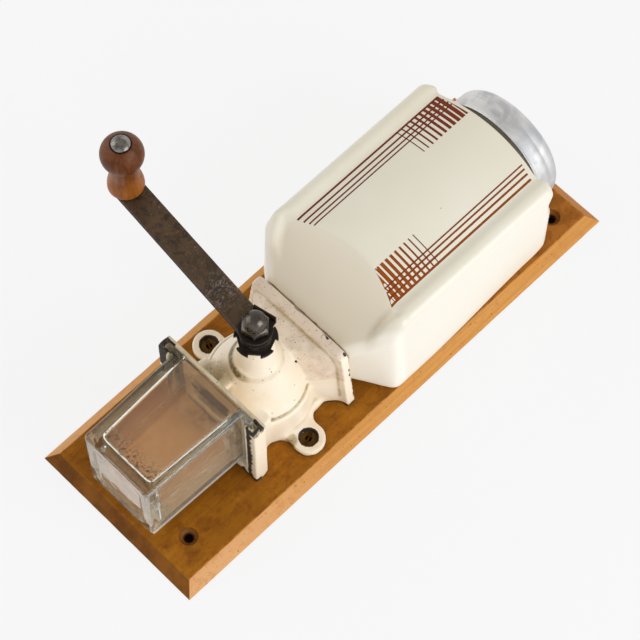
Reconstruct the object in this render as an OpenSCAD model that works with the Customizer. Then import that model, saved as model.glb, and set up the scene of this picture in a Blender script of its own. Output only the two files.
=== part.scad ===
// Wall mounted coffee grinder on a wooden board, lying on its back.
// +Z points out of the board, +X towards the lid. The origin is the middle of the board's back face.

/* [Backboard] */
// Length of the wooden board
board_l = 394; // [380:1:420]
// Width of the board
board_w = 140; // [132:1:160]
// Thickness of the board
board_t = 9.5; // [8:0.5:14]
// Width of the bevel round the front face
board_bevel = 8; // [4:0.5:12]
// Height of the square edge under the bevel
board_edge = 1.2; // [0.5:0.1:4]
// Diameter of the four hanging holes
hang_hole_d = 6; // [4:0.1:7]
// Diameter of a hanging hole's countersink
hang_sink_d = 12; // [9:0.5:14]
// Lower hanging holes, distance from the lower end
hang_low_inset = 28; // [18:0.5:40]
// Lower hanging holes, distance between the two
hang_low_span = 80.6; // [60:0.2:100]
// Upper hanging holes, distance from the upper end
hang_high_inset = 25.5; // [18:0.5:40]
// Upper hanging holes, distance between the two
hang_high_span = 93.4; // [60:0.2:100]

/* [Mill housing] */
// Distance of the crank shaft below the board's middle
shaft_drop = 66; // [60:0.5:70]
// Radius of the round drum
drum_r = 36; // [34:0.5:40]
// Height of the drum's shoulder over the board
drum_h = 30.5; // [28:0.5:34]
// Step of the shoulder between drum and bell
shoulder_step = 3; // [2:0.1:4]
// Height of the bell over the drum
bell_h = 30; // [28:0.5:34]
// Radius of the collar ring on top of the bell
ring_r = 17; // [15.5:0.1:19]
// Height of the collar ring
ring_h = 2; // [1:0.1:3]
// Radius of the boss where it leaves the ring
boss_base_r = 13.9; // [13:0.1:15]
// Radius of the boss at its end
boss_r = 10.8; // [10.2:0.1:12]
// Height of the boss over the bell
boss_h = 25.5; // [22:0.5:30]

/* [Ears] */
// Distance between the two ear screws
ear_span = 95.2; // [92:0.2:100]
// Radius of an ear
ear_r = 11.5; // [10:0.5:14]
// Thickness of an ear
ear_t = 7; // [6:0.5:9]
// Diameter of the recess for the screw head
ear_recess_d = 12.4; // [11.6:0.1:14]
// Depth of the recess
ear_recess_h = 3; // [2:0.1:4]
// Diameter of the screw head
ear_head_d = 11.2; // [9:0.1:11.4]
// Diameter of the screw shank
ear_shank_d = 4.4; // [3.5:0.1:5]

/* [Jar seat] */
// Distance from the shaft to the jar seat's face
seat_reach = 42.5; // [41:0.5:46]
// Thickness of the seat's raised border
seat_t = 7; // [5:0.5:9]
// Height of the seat over the board
seat_h = 63.5; // [60:0.5:68]
// Width of the seat at its front edge
seat_top_w = 84; // [80:1:90]
// Width of the seat at the board
seat_base_w = 98; // [94:1:110]
// Radius of the seat's front corners
seat_corner_r = 7; // [3:0.5:10]
// Height of the border over the funnel behind it
seat_border = 3; // [2:0.5:4]
// Width of the feed opening
feed_w = 54; // [46:1:56]
// Height of the feed opening along the seat
feed_h = 36; // [30:1:38]

/* [Cup rails] */
// Distance from the shaft to the cup plate's back
plate_reach = 34.5; // [33:0.5:38]
// Thickness of the cup plate
plate_t = 3.5; // [3:0.1:5]
// Height of the plate and rails over the board
plate_h = 79.5; // [76:0.5:84]
// Outer width across the rails
rail_w = 90; // [88:0.5:96]
// Thickness of a rail's side wall
rail_wall = 3.5; // [2.5:0.1:4]
// Thickness of a rail's front lip
rail_lip_t = 2.4; // [2:0.1:3]
// Reach of a rail's front lip inwards
rail_lip_w = 7; // [5:0.5:7]
// Width of the chute opening
chute_w = 44; // [36:1:46]
// Height of the chute over the burr chamber's floor
chute_h = 32; // [30:0.5:34]
// Thickness of the rib between plate and bell
rib_t = 8; // [4:0.5:10]

/* [Glass cup] */
// Length of the cup from rim to closed end
cup_l = 83.7; // [76:0.1:85]
// Width of the cup's closed end
cup_end_w = 59; // [54:0.5:61]
// Width of the cup behind its rim
cup_mouth_w = 63; // [61:0.5:64]
// Depth of the cup from front to back
cup_d = 68.5; // [62:0.5:70]
// Thickness of the glass at the front and back
cup_wall = 4.2; // [3:0.1:6]
// Thickness of the glass at the sides
cup_side = 6.6; // [4:0.1:8]
// Thickness of the glass at the closed end
cup_end_t = 8.6; // [5:0.1:11]
// Width across the rim
rim_w = 79; // [76:0.5:79]
// Thickness of the rim
rim_t = 4.3; // [3:0.1:6]
// Sideways seat of the loose cup in its rails
cup_shift = 1.7; // [0:0.1:1.7]
// Clearance of the rim in the rails
rim_clear = 0.3; // [0.2:0.05:0.6]

/* [Jar] */
// Length of the jar's body
jar_l = 173; // [165:1:180]
// Width of the jar
jar_w = 121; // [116:1:124]
// Depth of the jar from back to the panel's crown
jar_d = 91; // [88:0.5:96]
// Width of the jar's foot
jar_foot_w = 80; // [76:1:84]
// Depth of the jar's foot
jar_foot_d = 56; // [52:0.5:60]
// Rise of the sloped foot for each mm along the jar
jar_flare = 0.77; // [0.6:0.01:1]
// Length past the flare over which its curve dies out
flare_run = 30; // [26:1:36]
// Gap between the jar's back and the board
jar_back_gap = 1; // [0.5:0.1:3]
// Curve radius of the front panel
panel_r = 120; // [100:1:200]
// Width of the front panel
panel_w = 88; // [80:1:92]
// Height of the corner ridges over the falling panel
ridge_rise = 7; // [4:0.1:9]
// Radius of the jar's long edges
jar_edge_r = 10; // [7:0.5:12]
// Radius of the jar's upper end corners
jar_end_r = 6; // [4:0.5:9]
// Growth of the jar's back edges towards its upper end
jar_heel_r = 15; // [8:0.5:18]
// Thickness of the ceramic wall
jar_wall = 6; // [5:0.1:7]
// Thickness of the jar's foot
jar_foot_t = 8; // [7:0.1:9]
// Height of the jar's neck axis over its back
neck_axis_h = 45; // [44.7:0.1:46]
// Outer radius of the neck
neck_r = 43.5; // [41:0.1:43.8]
// Length of the neck
neck_l = 19; // [16:0.5:19.5]
// Thickness of the neck's wall
neck_wall = 6.5; // [5:0.1:8]
// Thickness of the gasket under the jar
gasket_t = 2; // [1:0.1:3]
// Thickness of the clamp frame inside the jar
clamp_t = 2; // [1.5:0.1:3]
// Distance between the two jar screws
jar_screw_span = 66; // [64:0.5:68]
// Diameter of the jar screws
jar_screw_d = 5; // [4:0.1:5.5]

/* [Lid] */
// Clearance between lid and neck
lid_clear = 0.5; // [0.3:0.05:0.8]
// Thickness of the lid's sheet
lid_t = 1; // [0.6:0.1:1.5]
// Length of the lid
lid_l = 23.2; // [22:0.1:28]
// Radius of the lid's shoulder
lid_round_r = 9; // [6:0.5:11]
// Visible neck between jar and lid
lid_gap = 3.8; // [3:0.1:6]

/* [Burrs and shaft] */
// Diameter of the crank shaft
shaft_d = 12; // [11:0.1:12.4]
// Diameter of the shaft's rear journal
journal_d = 10; // [8:0.1:10.5]
// Running clearance of every turning fit, on the radius
run_clear = 0.05; // [0.03:0.01:0.08]
// Gap between faces that rub on each other
rub_gap = 0.1; // [0.05:0.05:0.2]
// Outer radius of the fixed burr
burr_ring_r = 27; // [26:0.1:28]
// Height of the fixed burr
burr_ring_h = 16; // [14:0.5:17]
// Large radius of the turning burr
burr_r = 21; // [19:0.1:22]
// Radius of the turning burr's hub
burr_hub_r = 9; // [8.6:0.1:10]
// Grinding gap between the burrs
burr_gap = 1.1; // [1.1:0.1:1.6]
// Depth of the burr grooves
burr_groove = 1.6; // [1:0.1:2.2]
// Width of the burr grooves
burr_groove_w = 2; // [1.5:0.1:2.5]
// Diameter of the cross pin through the turning burr
burr_pin_d = 3; // [2:0.1:3.6]
// Wall of the shaft bush
bush_wall = 2.45; // [2:0.05:2.6]
// Thickness of the rear bearing plate
rear_t = 4; // [3:0.1:5]
// Wire diameter of the burr spring
spring_wire_d = 1.2; // [0.8:0.1:1.4]
// Turns of the burr spring
spring_turns = 3.5; // [2.5:0.5:3.5]

/* [Grind adjuster] */
// Thickness of the thrust washer
thrust_t = 2; // [1.5:0.1:3]
// Radius of the notched flange
notch_r = 14.5; // [13.5:0.1:16]
// Thickness of the notched flange
notch_t = 2.5; // [2:0.1:4]
// Depth of a notch
notch_depth = 2.7; // [2:0.1:3]
// Width of a notch
notch_w = 8; // [6:0.1:9]
// Radius of the adjuster's hub
adjuster_hub_r = 10.3; // [9.5:0.1:10.8]
// Height of the adjuster's hub
adjuster_hub_h = 6.4; // [5:0.1:8]
// Free space between the adjuster and the crank arm
adjuster_gap = 1.5; // [1.2:0.1:2]

/* [Crank] */
// Length of the arm from shaft to knob
arm_l = 134.2; // [120:0.1:150]
// Width of the arm
arm_w = 19.6; // [17:0.1:21]
// Thickness of the arm
arm_t = 4; // [3:0.1:5]
// Direction of the arm at rest
arm_angle = 84.6; // [0:0.1:180]
// Side of the square that drives the arm
square_side = 10; // [9:0.1:10.4]
// Radius of the lock washer under the nut
tab_r = 11.4; // [11:0.1:12.5]
// Thickness of the lock washer
tab_t = 1.5; // [1:0.1:2]
// Width of the lock washer's bent tab
tab_w = 17; // [10:0.5:18]
// Height of the bent tab over the washer
tab_h = 6; // [4:0.1:8]
// Distance of the bent tab from the shaft's middle
tab_reach = 10; // [9.8:0.1:10.4]
// Direction that the tab faces
tab_angle = 12; // [0:1:59]
// Width across the flats of the dome nut
nut_flats = 17; // [16:0.1:19]
// Height of the dome nut's hexagon
nut_hex_h = 7.8; // [6:0.1:9]
// Radius of the dome
nut_dome_r = 7.7; // [7:0.1:8]
// Height of the round collar between hexagon and dome
nut_collar_h = 1.8; // [1:0.1:3]

/* [Knob] */
// Diameter of the wooden ball
ball_d = 29.2; // [27:0.1:33]
// Height of the ball's middle over the knob's foot
ball_h = 40.5; // [37:0.5:43]
// Radius of the knob's foot
foot_r = 12.4; // [11:0.1:14]
// Radius of the waist
waist_r = 9.8; // [8:0.1:10.5]
// Height of the waist over the foot
waist_h = 17; // [14:0.5:20]
// Diameter of the pin through the knob
pin_d = 7; // [5:0.1:8]
// Radius of the pin's round head
pin_head_r = 6.4; // [5:0.1:7]
// Height of the pin's round head
pin_head_h = 3.2; // [2:0.1:4]
// Curve radius of the pin's round head
pin_dome_r = 9; // [8:0.1:14]
// Height of the pin's riveted foot under the arm
pin_foot_h = 1.6; // [1:0.1:1.6]
// Thickness of the washer under the knob
knob_washer_t = 1; // [0.5:0.1:1.5]

/* [Hidden] */
$fn = 64;
cut = 1;              // how far a cut runs past the surface it opens
fixed_clear = 0.05;   // radial room round pieces that are fixed in a hole

// Levels over the floor, from the board outwards
shaft_x = -shaft_drop;
shoulder_z = board_t + drum_h;
bell_z = shoulder_z + bell_h;
boss_z = bell_z + boss_h;
thrust_z = boss_z + rub_gap;
notch_z = thrust_z + thrust_t + rub_gap;
arm_z = notch_z + notch_t + adjuster_hub_h + adjuster_gap;
tab_z = arm_z + arm_t;
nut_z = tab_z + tab_t;
knob_z = tab_z + knob_washer_t + 2 * rub_gap;

// Levels of the burrs
rear_recess_h = 4.5;
chamber_h = 12;
feed_cone_h = 16;
rear_z = board_t + rear_recess_h;
chamber_z = rear_z + rear_t;
burr_z = chamber_z + chamber_h;
feed_z = burr_z + burr_ring_h;
bush_z = feed_z + feed_cone_h;
hub_h = 4;
land_h = 4;
burr_drop = 3;
burr_bottom_z = burr_z - burr_drop;
burr_land_z = burr_bottom_z + land_h;
burr_cone_h = burr_ring_h + burr_drop;
groove_over = 8;
burr_hub_z = burr_land_z + burr_cone_h;
burr_top_z = burr_hub_z + hub_h;
burr_taper = (burr_r - burr_hub_r) / burr_cone_h;
burr_angle = atan(burr_taper);
bush_r = shaft_d / 2 + run_clear + bush_wall;
rear_plate_r = burr_ring_r + 5.8;
rear_screw_r = burr_ring_r + 3;
rear_screw_d = 3.2;
rear_screw_grip = 8;
rear_head_d = rear_screw_d + 2.4;
rear_head_h = 2;
rear_screw_angles = [0, 110, 250];

// Jar and seat
seat_x = shaft_x + seat_reach;
seat_z = board_t + seat_h;
jar_x0 = seat_x + gasket_t;
jar_x1 = jar_x0 + jar_l;
jar_back_z = board_t + jar_back_gap;
panel_z = jar_back_z + jar_d;
foot_z = jar_back_z + jar_foot_d;
neck_z = jar_back_z + neck_axis_h;
feed_mid_z = jar_back_z + jar_foot_d * 0.56;
mouth_r = neck_r - neck_wall;
jar_screw_grip = 8;
jar_screw_l = jar_foot_t + gasket_t + clamp_t + jar_screw_grip;
clamp_h = jar_foot_d - 2 * jar_wall - 1;
clamp_w = jar_foot_w - 2 * jar_wall + 8;

// Cup and rails
plate_x = shaft_x - plate_reach - plate_t;
plate_z = board_t + plate_h;
rim_x = plate_x - rim_clear;
cup_front_z = plate_z + 1;
cup_back_z = cup_front_z - cup_d;
rail_x = rim_x - rim_t - rim_clear - rail_lip_t;
rail_in = rail_w / 2 - rail_wall;
chute_top_z = chamber_z + chute_h;

// Lid
lid_x = jar_x1 + lid_gap;
lid_in_r = neck_r + lid_clear;
lid_r = lid_in_r + lid_t;

// Curves of the jar, shared by its outside and its inside
function soft_min(a, b, k) = -k * ln(exp(-a / k) + exp(-b / k));
function ease(t) = let (c = max(0, min(1, t))) c * c * (3 - 2 * c);
function end_drop(x, r) = x < jar_x1 - r ? 0 : r - sqrt(max(0, r * r - pow(x - jar_x1 + r, 2)));
function jar_half(x) =
    soft_min(jar_w / 2, jar_foot_w / 2 + jar_flare * (x - jar_x0), 2.5) - end_drop(x, jar_end_r);
function panel_front(x, y) =
    panel_z - y * y / (2 * panel_r)
    + ease((abs(y) - panel_w / 2) / 7) * (ridge_rise - end_drop(x, jar_end_r));
function jar_front(x, y) = soft_min(panel_front(x, y), foot_z + jar_flare * (x - jar_x0), 1.5);

// One closed section of the jar at x, drawn in by inset, as points in space
function jar_section(x, inset) =
    let (half = jar_half(x) - inset,
         edge = jar_edge_r - inset / 2,
         flat = half - edge,
         side_z = jar_front(x, flat) - inset - edge,
         back_z = jar_back_z + inset,
         curl = edge + end_drop(x, jar_heel_r),
         front = [for (i = [0 : 24]) let (y = flat * (i / 12 - 1)) [x, y, jar_front(x, y) - inset]],
         corner = [for (a = [15 : 15 : 90]) [x, flat + edge * sin(a), side_z + edge * cos(a)]],
         heel = [for (a = [0 : 15 : 90]) [x, half - curl * (1 - cos(a)), back_z + curl * (1 - sin(a))]],
         right = concat(corner, heel),
         left = [for (i = [len(right) - 1 : -1 : 0]) [x, -right[i][1], right[i][2]]])
    concat(front, right, left);

// Middle of the box round a list of points
function middle(points) = [for (k = [0 : 2]) let (v = [for (p = points) p[k]]) (min(v) + max(v)) / 2];

// Solid through a list of sections that all have the same number of points
module loft(sections) {
    n = len(sections[0]);
    last = len(sections) - 1;
    hub = len(sections) * n;
    sides = [for (s = [0 : last - 1], i = [0 : n - 1])
             let (a = s * n + i, b = s * n + (i + 1) % n)
             each [[a, b, b + n], [a, b + n, a + n]]];
    caps = [for (i = [0 : n - 1]) let (j = (i + 1) % n)
            each [[j, i, hub], [last * n + i, last * n + j, hub + 1]]];
    points = concat([for (s = sections) each s], [middle(sections[0]), middle(sections[last])]);
    polyhedron(points, concat(sides, caps));
}

// Upright outline in y and z, pulled along +X from x by t
module slab_x(x, t) {
    translate([x, 0, 0]) rotate([90, 0, 90]) linear_extrude(t) children();
}

// Round bar or hole along +X
module rod_x(x, y, z, r, l) {
    translate([x, y, z]) rotate([0, 90, 0]) cylinder(r = r, h = l);
}

module rectangle(w, low, high) {
    translate([-w / 2, low]) square([w, high - low]);
}

module trapezium(low_w, high_w, low, high) {
    polygon([[-low_w / 2, low], [low_w / 2, low], [high_w / 2, high], [-high_w / 2, high]]);
}

module at_shaft(z) {
    translate([shaft_x, 0, z]) children();
}

module at_knob(z) {
    at_shaft(z) rotate([0, 0, arm_angle]) translate([arm_l, 0, 0]) children();
}

module at_ears(z) {
    for (side = [-1, 1]) translate([shaft_x, side * ear_span / 2, z]) children();
}

module at_jar_screws(x) {
    for (side = [-1, 1]) translate([x, side * jar_screw_span / 2, feed_mid_z]) rotate([0, 90, 0]) children();
}

module hang_hole() {
    translate([0, 0, -cut]) cylinder(d = hang_hole_d, h = board_t + 2 * cut);
    sink = (hang_sink_d - hang_hole_d) / 2;
    translate([0, 0, board_t - sink]) cylinder(d1 = hang_hole_d, d2 = hang_sink_d, h = sink);
    translate([0, 0, board_t]) cylinder(d = hang_sink_d, h = cut);
}

module backboard() color("peru") difference() {
    hull() {
        translate([-board_l / 2, -board_w / 2, 0]) cube([board_l, board_w, board_edge]);
        translate([board_bevel - board_l / 2, board_bevel - board_w / 2, 0])
            cube([board_l - 2 * board_bevel, board_w - 2 * board_bevel, board_t]);
    }
    for (side = [-1, 1]) {
        translate([hang_low_inset - board_l / 2, side * hang_low_span / 2, 0]) hang_hole();
        translate([board_l / 2 - hang_high_inset, side * hang_high_span / 2, 0]) hang_hole();
    }
    at_ears(board_edge) cylinder(d = ear_shank_d + 2 * fixed_clear, h = board_t);
}

// Drum, bell, collar ring and boss in one turned outline
module housing() {
    bell_r = drum_r - shoulder_step;
    bell = [for (i = [0 : 10]) let (t = i / 10)
            [ring_r + (bell_r - ring_r) * (0.45 * (1 - t) + 0.55 * cos(90 * t)), shoulder_z + bell_h * t]];
    outline = concat(
        [[0, board_t], [drum_r + 1, board_t], [drum_r, shoulder_z - 2], [drum_r - 1, shoulder_z]],
        bell,
        [[ring_r, bell_z + ring_h - 0.7], [ring_r - 1, bell_z + ring_h], [boss_base_r, bell_z + ring_h],
         [boss_r, boss_z], [0, boss_z]]);
    at_shaft(0) rotate_extrude($fn = 96) polygon(outline);
}

// Foot of the casting on the board, with its inner corners filled by a round of radius foot_fillet
module foot_plate() {
    foot_fillet = 8;
    at_shaft(board_t) linear_extrude(ear_t) offset(r = -foot_fillet) offset(r = foot_fillet) {
        circle(r = drum_r + 1);
        for (side = [-1, 1]) translate([0, side * ear_span / 2]) circle(r = ear_r);
        translate([-ear_r * 0.7, -ear_span / 2]) square([ear_r * 1.4, ear_span]);
        translate([seat_reach - seat_t, -seat_base_w / 2]) square([seat_t, seat_base_w]);
        translate([rail_x - shaft_x, -rail_w / 2]) square([plate_x + plate_t - rail_x, rail_w]);
        translate([drum_r / 2, -drum_r]) square([seat_reach - drum_r / 2, 2 * drum_r]);
        translate([plate_x - shaft_x, -drum_r * 0.8]) square([-plate_x + shaft_x, drum_r * 1.6]);
    }
}

module seat_outline() hull() {
    for (side = [-1, 1]) translate([side * (seat_top_w / 2 - seat_corner_r), seat_z - seat_corner_r])
        circle(r = seat_corner_r, $fn = 32);
    rectangle(seat_base_w, board_t, board_t + 2);
}

// Raised border that the jar stands on, and the funnel that leads from it to the drum
module jar_seat() {
    slab_x(seat_x - seat_t, seat_t) seat_outline();
    funnel_top = seat_z - seat_border - 2;
    round_r = 9;
    bell_r = drum_r - shoulder_step;
    hull() {
        slab_x(seat_x - seat_t, 1) {
            rectangle(seat_base_w - 4 * seat_border, board_t, board_t + 2);
            for (side = [-1, 1])
                translate([side * (seat_top_w / 2 - seat_border - round_r), funnel_top - round_r])
                    circle(r = round_r, $fn = 32);
        }
        slab_x(shaft_x + drum_r / 2, 1) {
            trapezium(bell_r * 1.66, bell_r * 1.66, board_t, shoulder_z);
            trapezium(bell_r * 1.66, ring_r * 0.9, shoulder_z, funnel_top - 2);
        }
    }
}

// Plate behind the cup, the rails that hold its rim, and the chute from the drum
module cup_holder() {
    slab_x(plate_x, plate_t) rectangle(rail_w, board_t, plate_z);
    for (side = [-1, 1]) {
        wall_y = side > 0 ? rail_in : -rail_w / 2;
        lip_y = side > 0 ? rail_in - rail_lip_w : -rail_w / 2;
        translate([rail_x, wall_y, board_t]) cube([plate_x - rail_x, rail_wall, plate_h]);
        translate([rail_x, lip_y, board_t]) cube([rail_lip_t, rail_wall + rail_lip_w, plate_h]);
        translate([rail_x, lip_y, board_t])
            cube([plate_x - rail_x, rail_wall + rail_lip_w, cup_back_z - rim_clear - board_t]);
    }
    hull() {
        slab_x(plate_x + plate_t - 1, 1) rectangle(rail_w * 0.78, board_t, chute_top_z);
        slab_x(shaft_x - drum_r / 2, 1) rectangle(drum_r * 1.7, board_t, chute_top_z);
    }
    translate([plate_x, 0, board_t]) cube([plate_reach - ring_r, rib_t, bell_z - board_t - 6]);
}

module housing_cuts() {
    at_shaft(board_t - cut) cylinder(r = rear_plate_r + fixed_clear, h = rear_recess_h + rear_t + cut);
    at_shaft(board_t) cylinder(r = burr_ring_r + fixed_clear, h = feed_z - board_t, $fn = 96);
    at_shaft(feed_z) cylinder(r1 = burr_ring_r - 2, r2 = bush_r + 2, h = feed_cone_h);
    at_shaft(bush_z - cut) cylinder(r = bush_r + fixed_clear, h = boss_z - bush_z + 2 * cut);
    for (a = rear_screw_angles) at_shaft(chamber_z - cut) rotate([0, 0, a])
        translate([rear_screw_r, 0, 0])
            cylinder(d = rear_screw_d + 2 * fixed_clear, h = rear_screw_grip + 1 + cut);
}

module feed_cut() hull() {
    slab_x(seat_x - 0.5, 0.5 + cut) rectangle(feed_w, feed_mid_z - feed_h / 2, feed_mid_z + feed_h / 2);
    slab_x(shaft_x + shaft_d, 1) rectangle(feed_w * 0.46, feed_z - 1, bush_z - 3);
}

module chute_cut() hull() {
    slab_x(plate_x - cut, cut + 1) rectangle(chute_w, cup_back_z + cup_wall + 7, chute_top_z - 4);
    slab_x(shaft_x - burr_r * 2 / 3, 1) rectangle(chute_w * 0.7, chamber_z + 3, burr_z + 1);
}

module ear_recess() {
    sink_h = ear_t - ear_recess_h - 1;
    translate([0, 0, ear_t - ear_recess_h]) cylinder(d = ear_recess_d, h = ear_recess_h + cut);
    translate([0, 0, 1]) cylinder(d1 = ear_shank_d + 1, d2 = ear_head_d + 0.5, h = sink_h);
    translate([0, 0, -cut]) cylinder(d = ear_shank_d + 1, h = 2 * cut);
}

module mill_body() color("antiquewhite") difference() {
    union() {
        housing();
        foot_plate();
        jar_seat();
        cup_holder();
    }
    housing_cuts();
    feed_cut();
    chute_cut();
    at_ears(board_t) ear_recess();
    at_jar_screws(seat_x - jar_screw_grip - 1)
        cylinder(d = jar_screw_d + 2 * fixed_clear, h = jar_screw_grip + 1 + cut);
}

module ear_screws() color("saddlebrown") at_ears(board_t) difference() {
    sink_h = ear_t - ear_recess_h - 1;
    head_z = ear_t - ear_recess_h + fixed_clear;
    union() {
        translate([0, 0, head_z]) cylinder(d1 = ear_head_d, d2 = ear_head_d - 2, h = 1.2);
        translate([0, 0, head_z - sink_h]) cylinder(d1 = ear_shank_d, d2 = ear_head_d, h = sink_h);
        translate([0, 0, board_edge + 0.3 - board_t]) cylinder(d = ear_shank_d, h = board_t + 1);
    }
    translate([-ear_head_d, -0.7, head_z + 0.3]) cube([2 * ear_head_d, 1.4, 2]);
}

// Radius of the turning burr's cone at height z, widened by gap
function burr_cone_r(z, gap) = burr_r + gap - burr_taper * (z - burr_land_z);

// A row of straight grooves laid along the burr's cone, with gap the same as above
module burr_grooves(count, gap, depth) {
    for (i = [0 : count - 1]) rotate([0, 0, 360 * i / count])
        translate([burr_r + gap, -burr_groove_w / 2, burr_land_z - burr_z]) rotate([0, -burr_angle, 0])
            translate([-depth, 0, -groove_over])
                cube([2 * depth, burr_groove_w, burr_cone_h + 2 * groove_over]);
}

module outer_burr() color("dimgray") at_shaft(burr_z) difference() {
    cylinder(r = burr_ring_r, h = burr_ring_h, $fn = 96);
    translate([0, 0, -cut])
        cylinder(r1 = burr_cone_r(burr_z - cut, burr_gap), r2 = burr_cone_r(feed_z + cut, burr_gap),
                 h = burr_ring_h + 2 * cut);
    burr_grooves(14, burr_gap, burr_groove);
}

module inner_burr() color("gray") difference() {
    bore_r = shaft_d / 2 + fixed_clear;
    at_shaft(0) rotate_extrude()
        polygon([[bore_r, burr_bottom_z], [burr_r, burr_bottom_z], [burr_r, burr_land_z],
                 [burr_hub_r, burr_hub_z], [burr_hub_r, burr_top_z], [bore_r, burr_top_z]]);
    at_shaft(burr_z) burr_grooves(9, 0, burr_groove);
    rod_x(shaft_x - burr_r, 0, burr_top_z - hub_h / 2, burr_pin_d / 2 + fixed_clear, 2 * burr_r);
}

module burr_pin() color("silver") {
    rod_x(shaft_x - burr_hub_r, 0, burr_top_z - hub_h / 2, burr_pin_d / 2, 2 * burr_hub_r);
}

module shaft_bush() color("goldenrod") at_shaft(bush_z) difference() {
    cylinder(r = bush_r, h = boss_z - bush_z);
    translate([0, 0, -cut]) cylinder(d = shaft_d + 2 * run_clear, h = boss_z - bush_z + 2 * cut);
}

module rear_bearing() color("slategray") at_shaft(rear_z) difference() {
    cylinder(r = rear_plate_r, h = rear_t);
    translate([0, 0, -cut]) cylinder(d = journal_d + 2 * run_clear, h = rear_t + 2 * cut);
    for (a = rear_screw_angles) rotate([0, 0, a]) translate([rear_screw_r, 0, -cut])
        cylinder(d = rear_screw_d + 0.4, h = rear_t + 2 * cut);
}

module rear_bearing_screws() color("silver") for (a = rear_screw_angles)
    at_shaft(rear_z) rotate([0, 0, a]) translate([rear_screw_r, 0, 0]) {
        difference() {
            translate([0, 0, -rear_head_h]) cylinder(d = rear_head_d, h = rear_head_h);
            translate([-rear_head_d, -0.4, -rear_head_h - cut]) cube([2 * rear_head_d, 0.8, 0.8 + cut]);
        }
        cylinder(d = rear_screw_d, h = rear_t + rear_screw_grip);
    }

module jar() color("ivory") difference() {
    shoulder_l = (jar_w - jar_foot_w) / jar_flare + flare_run;
    steps = [for (i = [0 : 9]) jar_x0 + shoulder_l * i / 9];
    ends = [for (a = [0 : 15 : 90]) jar_x1 - jar_heel_r * (1 - sin(a))];
    inner = concat([for (x = steps) max(x, jar_x0 + jar_foot_t)], [jar_x1 - jar_heel_r, jar_x1 - jar_wall]);
    deep = [for (i = [0 : len(inner) - 1]) if (i == 0 || inner[i] > inner[i - 1]) inner[i]];
    union() {
        loft([for (x = concat(steps, ends)) jar_section(x, 0)]);
        rod_x(jar_x1 - jar_wall - 2, 0, neck_z, neck_r, neck_l + jar_wall + 2);
    }
    loft([for (x = deep) jar_section(x, jar_wall)]);
    rod_x(jar_x1 - jar_heel_r, 0, neck_z, mouth_r, neck_l + jar_heel_r + cut);
    slab_x(jar_x0 - cut, jar_foot_t + 2 * cut)
        rectangle(feed_w, feed_mid_z - feed_h / 2, feed_mid_z + feed_h / 2);
    at_jar_screws(jar_x0 - cut) cylinder(d = jar_screw_d + 1, h = jar_foot_t + 2 * cut);
}

module feed_frame(w, h) difference() {
    rectangle(w, feed_mid_z - h / 2, feed_mid_z + h / 2);
    rectangle(feed_w, feed_mid_z - feed_h / 2, feed_mid_z + feed_h / 2);
    for (side = [-1, 1]) translate([side * jar_screw_span / 2, feed_mid_z]) circle(d = jar_screw_d + 1);
}

module jar_gasket() color("darkolivegreen") slab_x(seat_x, gasket_t) feed_frame(jar_foot_w - 4, clamp_h);

module jar_clamp() color("silver") slab_x(jar_x0 + jar_foot_t, clamp_t) feed_frame(clamp_w, clamp_h);

module jar_screws() color("silver") at_jar_screws(jar_x0 + jar_foot_t + clamp_t) difference() {
    union() {
        cylinder(d = jar_screw_d + 3.6, h = 3);
        translate([0, 0, -jar_screw_l]) cylinder(d = jar_screw_d, h = jar_screw_l);
    }
    translate([-jar_screw_d, -0.6, 1.8]) cube([2 * jar_screw_d, 1.2, 2]);
}

// Pressed cap, turned about the jar's neck
module lid() color("lightgray") {
    arc = [for (a = [0 : 15 : 90]) [sin(a), cos(a)]];
    outer = [for (p = arc) [lid_r - lid_round_r * (1 - p[1]), lid_l - lid_round_r * (1 - p[0])]];
    hollow = lid_round_r - lid_t;
    inner = [for (i = [len(arc) - 1 : -1 : 0])
             [lid_in_r - hollow * (1 - arc[i][1]), lid_l - lid_t - hollow * (1 - arc[i][0])]];
    translate([lid_x, 0, neck_z]) rotate([0, 90, 0]) rotate_extrude($fn = 128)
        polygon(concat([[lid_in_r, 0], [lid_r, 0]], outer, [[0, lid_l], [0, lid_l - lid_t]], inner));
}

module cup_block(mouth_w, end_w, x0, x1, back_z, front_z, r) hull() {
    for (side = [-1, 1], z = [back_z + r, front_z - r]) {
        rod_x(x1 - 1, cup_shift + side * (mouth_w / 2 - r), z, r, 1);
        translate([x0 + r, cup_shift + side * (end_w / 2 - r), z]) sphere(r = r, $fn = 24);
    }
}

module glass_cup() color("lightcyan", 0.5) difference() {
    end_x = rim_x - cup_l;
    union() {
        cup_block(cup_mouth_w, cup_end_w, end_x, rim_x, cup_back_z, cup_front_z, 4);
        translate([0, cup_shift, 0]) slab_x(rim_x - rim_t, rim_t) rectangle(rim_w, cup_back_z, cup_front_z);
    }
    cup_block(cup_mouth_w - 2 * cup_side + 3, cup_end_w - 2 * cup_side, end_x + cup_end_t, rim_x + cut,
              cup_back_z + cup_wall, cup_front_z - cup_wall, 5);
}

module thrust_washer() color("dimgray") at_shaft(thrust_z) difference() {
    cylinder(r = adjuster_hub_r, h = thrust_t);
    translate([0, 0, -cut]) cylinder(d = shaft_d + 2 * run_clear, h = thrust_t + 2 * cut);
}

// Notched wheel that screws along the shaft and sets the burrs' distance
module adjusting_nut() color("darkslategray") at_shaft(notch_z) difference() {
    union() {
        cylinder(r = notch_r, h = notch_t);
        cylinder(r = adjuster_hub_r, h = notch_t + adjuster_hub_h);
    }
    translate([0, 0, -cut])
        cylinder(d = shaft_d + 2 * run_clear, h = notch_t + adjuster_hub_h + 2 * cut);
    for (i = [0 : 4]) rotate([0, 0, 5 + 72 * i])
        translate([notch_r - notch_depth, -notch_w / 2, -cut]) cube([notch_r, notch_w, notch_t + 2 * cut]);
}

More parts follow.
